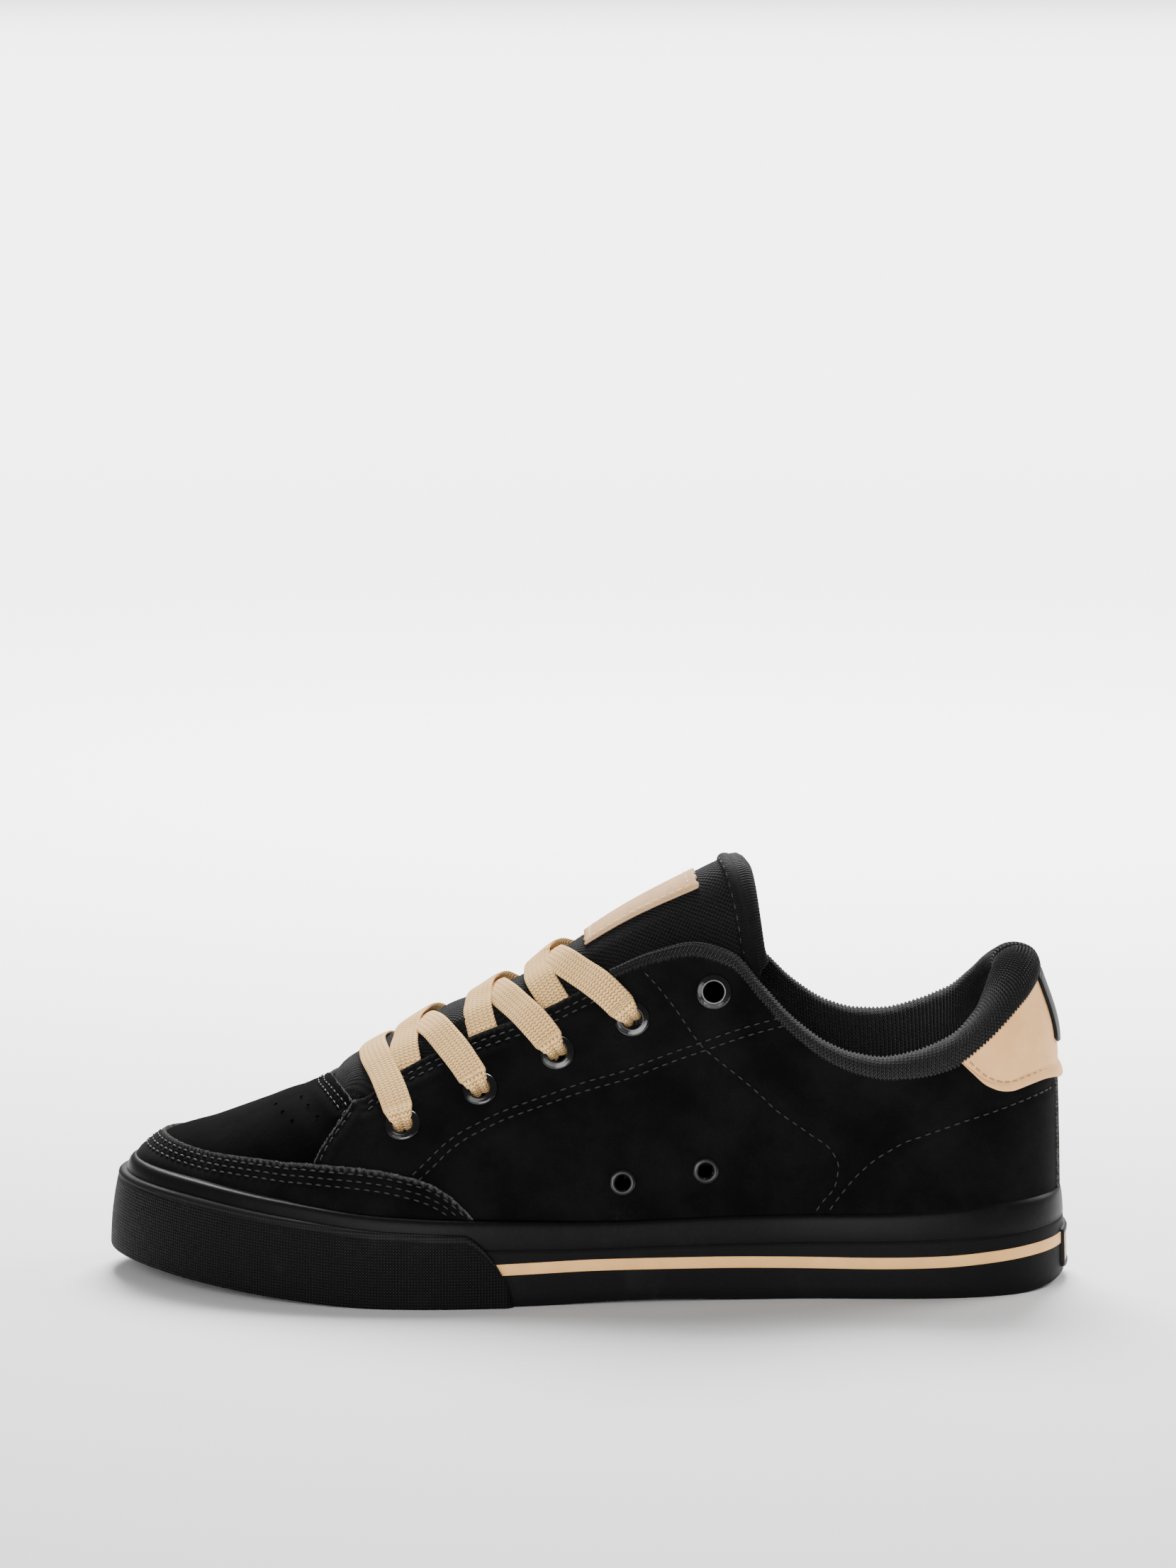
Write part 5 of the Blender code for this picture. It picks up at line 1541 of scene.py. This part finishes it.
def tongue_top(along, part):
    """The tongue's upper face: an arch about the ridge that droops towards the tip, kept under the
    skin where the leather covers it. Returns the points and the thickness there."""
    half = BALL_WIDTH * read(TONGUE, along, 3)
    drop = INSTEP_HEIGHT * read(TONGUE, along, 4)
    turn = part * np.radians(read(TONGUE, along, 5))
    first, last = TONGUE[0][0], TONGUE[-1][0]
    tip = np.clip((0.5 * (first + last) - along) / (0.5 * (last - first)), 0, 1)
    x = place(along) - TONGUE_DROOP * tip ** 2 * (1 - np.cos(turn)) - 0.0028 * tip ** 2 * np.sin(turn)
    across = half * np.sin(turn)
    z = read(TONGUE, along, 1, 2) - drop * 1.06 * (1 - np.cos(turn)) ** 1.3
    front = np.clip((along - 0.57) / 0.07, 0, 1)
    skin = skin_height(x, across)
    ahead = x - (VAMP_FRONT - VAMP_BEND * (np.abs(across) / VAMP_HALF) ** 1.7)
    aside = (top_line(share(x), across >= 0) + TONGUE_ASIDE - skin) / TONGUE_ASIDE
    limit = skin + TONGUE_PROUD - np.maximum(VAMP_DIP * ease((ahead + 0.0075) / 0.0095),
                                             QUARTER_DIP * ease(aside))
    z = z + (np.minimum(z, limit) - z) * front
    padded = np.clip((0.470 - along) / 0.05, 0, 1)
    cover = 0.0034 + (collar_value(share(x), 3) - 0.0014) * padded
    edge = top_line(share(x), across >= 0) + TONGUE_FREE + collar_value(share(x), 1, 2) * padded
    covered = np.clip((edge + TONGUE_EASE - z) / TONGUE_EASE, 0, 1) * (1 - front)
    room = skin_half(x, z, across >= 0) - cover * covered
    wide = np.abs(across)
    held = (wide + room - np.sqrt((wide - room) ** 2 + TONGUE_BLEND ** 2)) / 2
    sides = covered * np.clip((np.abs(part) - 0.12) / (TONGUE_FLAT - 0.12), 0, 1)
    across = np.sign(across) * (wide * (1 - sides) + np.maximum(held, 0) * sides)
    thick = TONGUE_THIN + (TONGUE_THICK - TONGUE_THIN) * np.clip(tip * 1.6, 0, 1)
    thick = thick * (1 - 0.55 * np.abs(part) ** 3)
    return np.stack([x, ridge_place(along) + across, z], axis=-1), thick


def tongue_grid(first, last, rows, columns, lift=0.0):
    along = np.linspace(first, last, rows)[:, None]
    part = np.linspace(-1, 1, columns)[None, :]
    top, thick = tongue_top(along + 0 * part, part + 0 * along)
    out = grid_normal(top)
    return top + out * np.asarray(lift)[..., None], top - out * (thick + np.asarray(lift))[..., None], out


canvas = Look("basket_canvas", (0.0040, 0.0040, 0.0042), 0.90, Specular_IOR_Level=0.14)
threads = canvas.split("UV")
warp = (threads.part("X") * (math.pi / CANVAS_PITCH)).sine()
weft = (threads.part("Y") * (math.pi / CANVAS_PITCH)).sine()
over = warp * weft
knots = over.size() ** 0.6
fleck = canvas.noise(900, 2, 0.6)
# The canvas is painted lighter where the weave stands up and darker in its hollows, a painted highlight and
# painted shade that follow the bump; the fleck noise varies it at random.
canvas.colour(canvas.mix((over * 0.55 + 0.35 + fleck * 0.3).clamped(), (0.0009, 0.0009, 0.0010),
                         (0.0210, 0.0210, 0.0216)))
canvas.bump((over + knots * 0.3, 1.0, 0.00060), (fleck, 0.2, 0.0002))

twill = Look("twill_binding", (0.0038, 0.0038, 0.0040), 0.80, Specular_IOR_Level=0.16)
lines = twill.split("UV")
diagonal = ((lines.part("X") + lines.part("Y") * 0.9) * (2 * math.pi / TWILL_PITCH)).sine()
# The twill's raised diagonal lines are painted lighter and the grooves between them darker, a painted
# highlight and painted shade that follow the bump.
twill.colour(twill.mix(diagonal * 0.4 + 0.5, (0.0011, 0.0011, 0.0012), (0.0088, 0.0088, 0.0091)))
twill.bump((diagonal, 0.9, 0.00030), (twill.noise(1200, 2), 0.2, 0.0002))

first = TONGUE[0][0]
top, bottom, out = tongue_grid(first + BINDING * 0.8, TONGUE[-1][0], 130, 61)
uv = np.stack([lengths(top, 1), lengths(top, 0)], axis=-1)
tongue = make_pillow("canvas_tongue", top, bottom, canvas, blunt=0.9, uv=uv)

part = np.linspace(0, 1, 26)
swell = 0.0002 + 0.0011 * np.sin(math.pi * np.clip(1 - part, 0, 1) ** 0.9) ** 0.8
swell[-1] = -0.0002
top, bottom, out = tongue_grid(first, first + BINDING, 26, 61, np.broadcast_to(swell[:, None], (26, 61)))
uv = np.stack([lengths(top, 1), lengths(top, 0)], axis=-1)
binding = make_pillow("tongue_binding", top, bottom, twill, blunt=0.95, uv=uv)

along = np.full(160, first + BINDING * 0.80)
reach = np.linspace(-0.97, 0.97, 160)
seam_top, thick = tongue_top(np.stack([along, along + 0.002]), np.stack([reach, reach]))
normal = grid_normal(seam_top)[0]
beads = stitches(seam_top[0] + normal * 0.00055, normal, 0.0036, 0.0026, 0.00032)
binding_stitches = many("binding_stitches", beads, thread_look, close_columns=True)

label_leather = Look("label_leather", (0.60, 0.34, 0.165), 0.66, Specular_IOR_Level=0.2)
stain = label_leather.noise(130, 4, 0.6)
label_face = label_leather.mix(stain.ramp(0.3, 0.7), (0.48, 0.277, 0.120), (0.58, 0.338, 0.150))
label_leather.colour(label_leather.mix(label_leather.mark("raw"), label_face, (0.52, 0.37, 0.24)))
label_leather.bump((label_leather.noise(700, 3), 0.3, 0.0003))
along = np.linspace(LABEL_START, LABEL_END, 45)[:, None]
wide = np.linspace(-1, 1, 31)[None, :]
ragged = 0.0012 * np.sin(wide * 19) * (np.abs(along - (LABEL_START + LABEL_END) / 2) > 0.054)
part = np.arcsin(LABEL_HALF * wide / (BALL_WIDTH * read(TONGUE, along, 3)))
part /= np.radians(read(TONGUE, along, 5))
base, thick = tongue_top(along + ragged, part)
out = grid_normal(base)
label = make_pillow("tongue_label", base + out * 0.0011, base + out * 0.0001, label_leather, blunt=0.4)
label_thread = Look("label_thread", (0.86, 0.72, 0.53), 0.5, Specular_IOR_Level=0.3)
ahead, back = slice(LABEL_INSET, -LABEL_INSET), slice(-LABEL_INSET, LABEL_INSET, -1)
loop, loop_out = (np.concatenate([rows[LABEL_INSET, ahead], rows[ahead, -LABEL_INSET],
                                  rows[-LABEL_INSET, back], rows[back, LABEL_INSET]])
                  for rows in (base, out))
beads = stitches(loop + loop_out * 0.00095, loop_out, 0.0027, 0.0018, 0.00024)
label_stitches = many("label_stitches", beads, label_thread, close_columns=True)
for piece, slot in ((tongue, "canvas_black"), (binding, "canvas_black"), (binding_stitches, "canvas_black"),
                    (label, "plate_beige"), (label_stitches, "plate_beige")):
    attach(piece, "root")
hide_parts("tongue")


# Eyelets and vents.
# Ten eyelets of glossy black enamelled metal hold the lace, and four smaller duller vents sit low
# on the sides. Each is pressed through the suede, with a rolled rim round its open bore.

EYELET_PROFILE = (
    # radius, height over the suede
    (0.00548, -0.0002),
    (0.00550, 0.0003),
    (0.00530, 0.0006),
    (0.00480, 0.00078),
    (0.00430, 0.00085),
    (0.00385, 0.00100),
    (0.00345, 0.00112),
    (0.00318, 0.00098),
    (0.00306, 0.00060),
    (0.00302, -0.0010),
    (0.00302, -0.0024),
    (0.00340, -0.0024),
    (0.00345, -0.0006),
)
VENT_PROFILE = (
    (0.00405, -0.0002),
    (0.00408, 0.0002),
    (0.00385, 0.00050),
    (0.00340, 0.00070),
    (0.00295, 0.00078),
    (0.00258, 0.00062),
    (0.00240, 0.00030),
    (0.00236, -0.0010),
    (0.00236, -0.0024),
    (0.00270, -0.0024),
    (0.00275, -0.0006),
)


def hole_places(table):
    """Station and angle in degrees of holes given by their place along and height."""
    rows = []
    for along, height in table:
        for side in (1.0, -1.0):
            u = float(SKIN.station(place(along))) * side
            rows.append((u, math.degrees(float(angle_at([u], [height * INSTEP_HEIGHT])[0]))))
    return rows


enamel = Look("black_enamel", (0.0025, 0.0025, 0.0027), 0.13, Specular_IOR_Level=0.55)
enamel.rough(0.08 + 0.16 * enamel.noise(600, 3))
enamel.bump((enamel.noise(900, 3), 0.25, 0.0002))
vent_metal = Look("dull_enamel", (0.006, 0.006, 0.0065), 0.28, Specular_IOR_Level=0.35)
vent_metal.bump((vent_metal.noise(900, 3), 0.2, 0.0002))
eyelet_places = hole_places(EYELETS)
vent_places = hole_places(VENTS)
eyelets, vents = (
    many(name, discs(places, [(radius, height + LAP) for radius, height in profile], sides), look,
         close_rows=True, close_columns=True)
    for name, places, profile, sides, look in (("eyelets", eyelet_places, EYELET_PROFILE, 40, enamel),
                                               ("vents", vent_places, VENT_PROFILE, 32, vent_metal)))
for piece in (eyelets, vents):
    weld(piece)
    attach(piece, "root")
for side in ("outer", "inner"):
    for number in range(1, len(EYELETS) + 1):
        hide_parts(f"eyelet_{side}_{number}")
    for number in range(1, len(VENTS) + 1):
        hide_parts(f"vent_{side}_{number}")


def cut_holes(piece, places, radius):
    """Takes the faces away whose middle lies within a radius of a hole's middle."""
    u = np.array([row[0] for row in places])
    angle = np.radians([row[1] for row in places])
    centre = SKIN.point(u, angle)
    out = SKIN.normal(u, angle)
    work = bmesh.new()
    work.from_mesh(piece.data)
    work.faces.ensure_lookup_table()
    middle = np.array([face.calc_center_median()[:] for face in work.faces])
    inside = np.zeros(len(middle), bool)
    for c, n in zip(centre, out):
        offset = middle - c
        depth = offset @ n
        near = np.linalg.norm(offset - depth[:, None] * n, axis=1) < radius
        inside |= near & (np.abs(depth) < 0.005)
    bmesh.ops.delete(work, geom=[work.faces[int(k)] for k in np.flatnonzero(inside)], context="FACES")
    work.to_mesh(piece.data)
    work.free()


# A dark matte disc sits a millimetre under the skin in the bore of each top eyelet, which holds no lace:
# painted shade for the dark inside of the open eyelet.
shade_disc_rings = ((0.0030, -0.0010), (0.0015, -0.0010), (0.00001, -0.0010))
eyelet_shade_discs = many("eyelet_shade_discs", discs(eyelet_places[-2:], shade_disc_rings, 32), hole_shade_look, close_rows=True)
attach(eyelet_shade_discs, "root")
for piece, places, radius in ((quarters, eyelet_places, 0.0037), (quarters, vent_places, 0.0030),
                              (vamp, eyelet_places, 0.0037)):
    cut_holes(piece, places, radius)


# Laces.
# The flat woven cotton lace is drawn straight across the first eyelets and then crosses three times
# on its way up. Each end comes out under one edge of the throat, passes over the other edge and
# goes down into the next eyelet, where it gathers; behind the fourth eyelets its ends stay hidden.

LACE_WIDTH = 0.0095
LACE_THICK = 0.0013
LACE_TUCK = 0.06
LACE_CROSS = 0.0015
TUCK_RUN = 0.0058
TUCK_DEPTH = 0.0027
GATHER_RUN = 0.0108
GATHER_HALF = 0.00345
LACE_BOWS = ((0.0105,), (0.0078, 0.0100), (0.0100, 0.0118), (0.0165, 0.0193))
LACED_ROWS = 4
DIVE_START = 0.0052
DIVE = (
    # distance to the eyelet's axis, height over the suede, turn
    (0.0036, 0.0022, 0.0),
    (0.0024, 0.0016, 0.35),
    (0.0015, 0.0003, 0.9),
    (0.0010, -0.0018, 1.4),
    (0.0006, -0.0042, 1.57),
)
LACE_ROW = 0.00120
LACE_COLUMN = 0.00158


def cover_point(x, across):
    """Skin point over a place along, from -1 at the inner feather edge to 1 at the outer one."""
    u = SKIN.station(x) * np.where(across >= 0, 1.0, -1.0)
    angle = np.arccos(np.clip(np.abs(across), 0, 1) ** (roundness(share(x)) / 2))
    return SKIN.point(u, angle)


def cover_normal(x, across):
    along = cover_point(x + 0.001, across) - cover_point(x - 0.001, across)
    side = cover_point(x, across + 0.02) - cover_point(x, across - 0.02)
    return unit(np.cross(along, side))


def cover_place(along, height, side):
    """Place of a skin point in the cover's own terms."""
    u = float(SKIN.station(place(along))) * side
    angle = float(angle_at([u], [height])[0])
    return np.array([float(place(along)), side * math.cos(angle) ** (2 / float(roundness(along)))])


def dive(path, out, centre, normal):
    """Ends a path in an eyelet: over its rim, down inside it, and off behind the leather."""
    last = int(np.flatnonzero(np.linalg.norm(path - centre, axis=1) > DIVE_START)[-1])
    path, out = path[:last + 1], out[:last + 1]
    away = path[-1] - centre
    away = unit(away - normal * (away @ normal))
    more = np.array([centre + away * back + normal * high for back, high, turn in DIVE])
    faces = np.array([normal * math.cos(turn) - away * math.sin(turn) for back, high, turn in DIVE])
    return np.concatenate([path, more]), np.concatenate([out, faces])


pad = tongue_top(np.linspace(0.40, 0.775, 240)[:, None] + np.zeros((1, 121)),
                 np.linspace(-1, 1, 121)[None, :] + np.zeros((240, 1)))[0].reshape(-1, 3)


def band(start, end, bow, tucked=True, raise_at=None):
    """Middle line of a lace band with its outward direction. Each end of the line is a place on the
    cover; a tucked end comes out from under the throat's edge, the others dive into eyelets."""
    part = np.linspace(0, 1, 60)
    line = start + (end - start) * part[:, None]
    line[:, 0] += bow * np.sin(math.pi * part)
    base = cover_point(line[:, 0], line[:, 1])
    out = cover_normal(line[:, 0], line[:, 1])
    run = lengths(base)
    leather_high = LAP + 0.0004 + LACE_THICK / 2 + 0.0002 * np.sin(run / 0.006)
    apart = np.linalg.norm(base[:, None, :2] - pad[None, :, :2], axis=2).argmin(axis=1)
    pad_high = (pad[apart, 2] - base[:, 2]) * out[:, 2] + 0.0002 + LACE_THICK / 2
    outer = base[:, 1] > ridge_place(share(base[:, 0]))
    on_leather = base[:, 2] < top_line(share(base[:, 0]), outer) + 0.0006
    if tucked:
        on_leather &= part > 0.5
    least = base[:, 2] + np.where(on_leather, leather_high, pad_high) * out[:, 2]
    taut = least.copy()
    for turn in range(600):
        taut[1:-1] = np.maximum(least[1:-1], (taut[:-2] + taut[2:]) / 2)
    taut[2:-2] = (taut[:-4] + taut[1:-3] + taut[2:-2] + taut[3:-1] + taut[4:]) / 5
    high = (np.maximum(taut, least - 0.0003) - base[:, 2]) / out[:, 2]
    if tucked:
        high = np.minimum(high, np.clip(run - TUCK_RUN, 0, None) * 1.1 - TUCK_DEPTH)
    if raise_at is not None:
        near = np.linalg.norm(base - raise_at, axis=1)
        high += LACE_CROSS * np.exp(-(near / LACE_WIDTH) ** 4)
    return base + out * high[:, None], out


def lace_piece(name, path, out, gathers):
    """A flat woven band along a path. gathers holds the path's ends that sit in an eyelet."""
    count = 170
    smooth_path = loft(path[:, None], count)[0]
    face = unit(loft(out[:, None], count)[0])
    run = lengths(smooth_path)
    ahead = unit(np.gradient(smooth_path, axis=0))
    side = unit(np.cross(face, ahead))
    face = np.cross(ahead, side)
    width = np.full(count, LACE_WIDTH / 2)
    fold = np.zeros(count)
    for at_end in gathers:
        gone = run if at_end == 0 else run[-1] - run
        pull = ease((GATHER_RUN - gone) / 0.0070)
        width -= (LACE_WIDTH / 2 - GATHER_HALF) * pull
        fold += 0.00085 * pull
    width *= 1 + 0.025 * np.sin(run / 0.0042) * np.cos(run / 0.0101)
    v = np.linspace(-1, 1, 23)
    across = np.concatenate([v, v[::-1]])
    body = np.repeat([0.5, -0.5], len(v)) * LACE_THICK * (1 - 0.72 * np.abs(across) ** 5)
    lobe = np.sin(math.pi * np.abs(across)) - 0.45
    pucker = 0.00010 * np.sin(run / 0.0023)[:, None] * across[None, :] ** 2
    grid = (smooth_path[:, None] + side[:, None] * (width[:, None] * across[None, :])[..., None]
            + face[:, None] * (body[None, :] + fold[:, None] * lobe[None, :] + pucker)[..., None])
    uv = np.stack([np.broadcast_to(run[:, None], grid.shape[:2]),
                   np.broadcast_to(across[None, :] * LACE_WIDTH / 2, grid.shape[:2])], axis=-1)
    caps = [row * 0.02 + row.mean(axis=1, keepdims=True) * 0.98 for row in (grid[:1], grid[-1:])]
    grid = np.concatenate([caps[0], grid, caps[1]])
    uv = np.concatenate([uv[:1], uv, uv[-1:]])
    made = make_grid(name, grid, lace_look, close_columns=True, uv=uv)
    weld(made)
    return made


lace_look = Look("woven_lace", (0.74, 0.46, 0.245), 0.88, Specular_IOR_Level=0.15, Sheen_Weight=0.15,
                 Sheen_Roughness=0.5)
cloth = lace_look.split("UV")
lane = cloth.part("Y") * (math.pi / LACE_COLUMN)
zigzag = lane.sine().size()
yarn = ((cloth.part("X") * (math.pi / LACE_ROW)) + zigzag * 1.35).sine().size()
gap = yarn ** 0.45 * (0.55 + 0.45 * (zigzag ** 0.5))
shade = lace_look.noise(240, 3, 0.6)
# Where the yarns part, the weave is painted dark brown, painted shade in its gaps, and the yarns themselves
# take the pale beige; the colour follows the same pattern as the bump.
gap_shade_colour = lace_look.mix(shade, (0.24, 0.105, 0.036), (0.32, 0.145, 0.052))
light_yarn = lace_look.mix(shade, (0.94, 0.560, 0.215), (0.96, 0.620, 0.250))
lace_look.colour(lace_look.mix(gap.ramp(0.18, 0.80), gap_shade_colour, light_yarn))
lace_look.bump((gap, 1.0, 0.00050), (lace_look.noise(1400, 2), 0.2, 0.0002))

rims = [[cover_place(along, height * INSTEP_HEIGHT, side) for along, height in EYELETS]
        for side in (1.0, -1.0)]


def eyelet_frame(spot):
    normal = cover_normal(spot[:1], spot[1:])[0]
    return cover_point(spot[:1], spot[1:])[0] + normal * LAP, normal


path, out = band(rims[0][0], rims[1][0], LACE_BOWS[0][0], tucked=False)
path, out = dive(path, out, *eyelet_frame(rims[1][0]))
path, out = dive(path[::-1], out[::-1], *eyelet_frame(rims[0][0]))
lace_bar = lace_piece("lace_bar_band", path, out, (0, 1))
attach(lace_bar, "root")
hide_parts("lace_bar")
for row in range(LACED_ROWS - 1):
    along = EYELETS[row][0] + (EYELETS[row + 1][0] - EYELETS[row][0]) * LACE_TUCK
    lines = []
    for goal, side in ((0, -1.0), (1, 1.0)):
        throat = cover_place(along, float(top_line(along, side > 0)) - 0.0050, side)
        lines.append((throat, rims[goal][row + 1]))
    under, over = (band(*line, bow)[0][12:48] for line, bow in zip(lines, LACE_BOWS[row + 1]))
    apart = np.linalg.norm(under[:, None] - over[None, :], axis=-1)
    meeting = under[np.unravel_index(apart.argmin(), apart.shape)[0]]
    for number, (start, end) in enumerate(lines):
        path, out = band(start, end, LACE_BOWS[row + 1][number], raise_at=meeting if number else None)
        path, out = dive(path, out, *eyelet_frame(end))
        piece = lace_piece(f"lace_{row + 1}_{'over' if number else 'under'}", path, out, (1,))
        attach(piece, "root")
        if number:
            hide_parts(f"lace_crossing_{row + 1}")
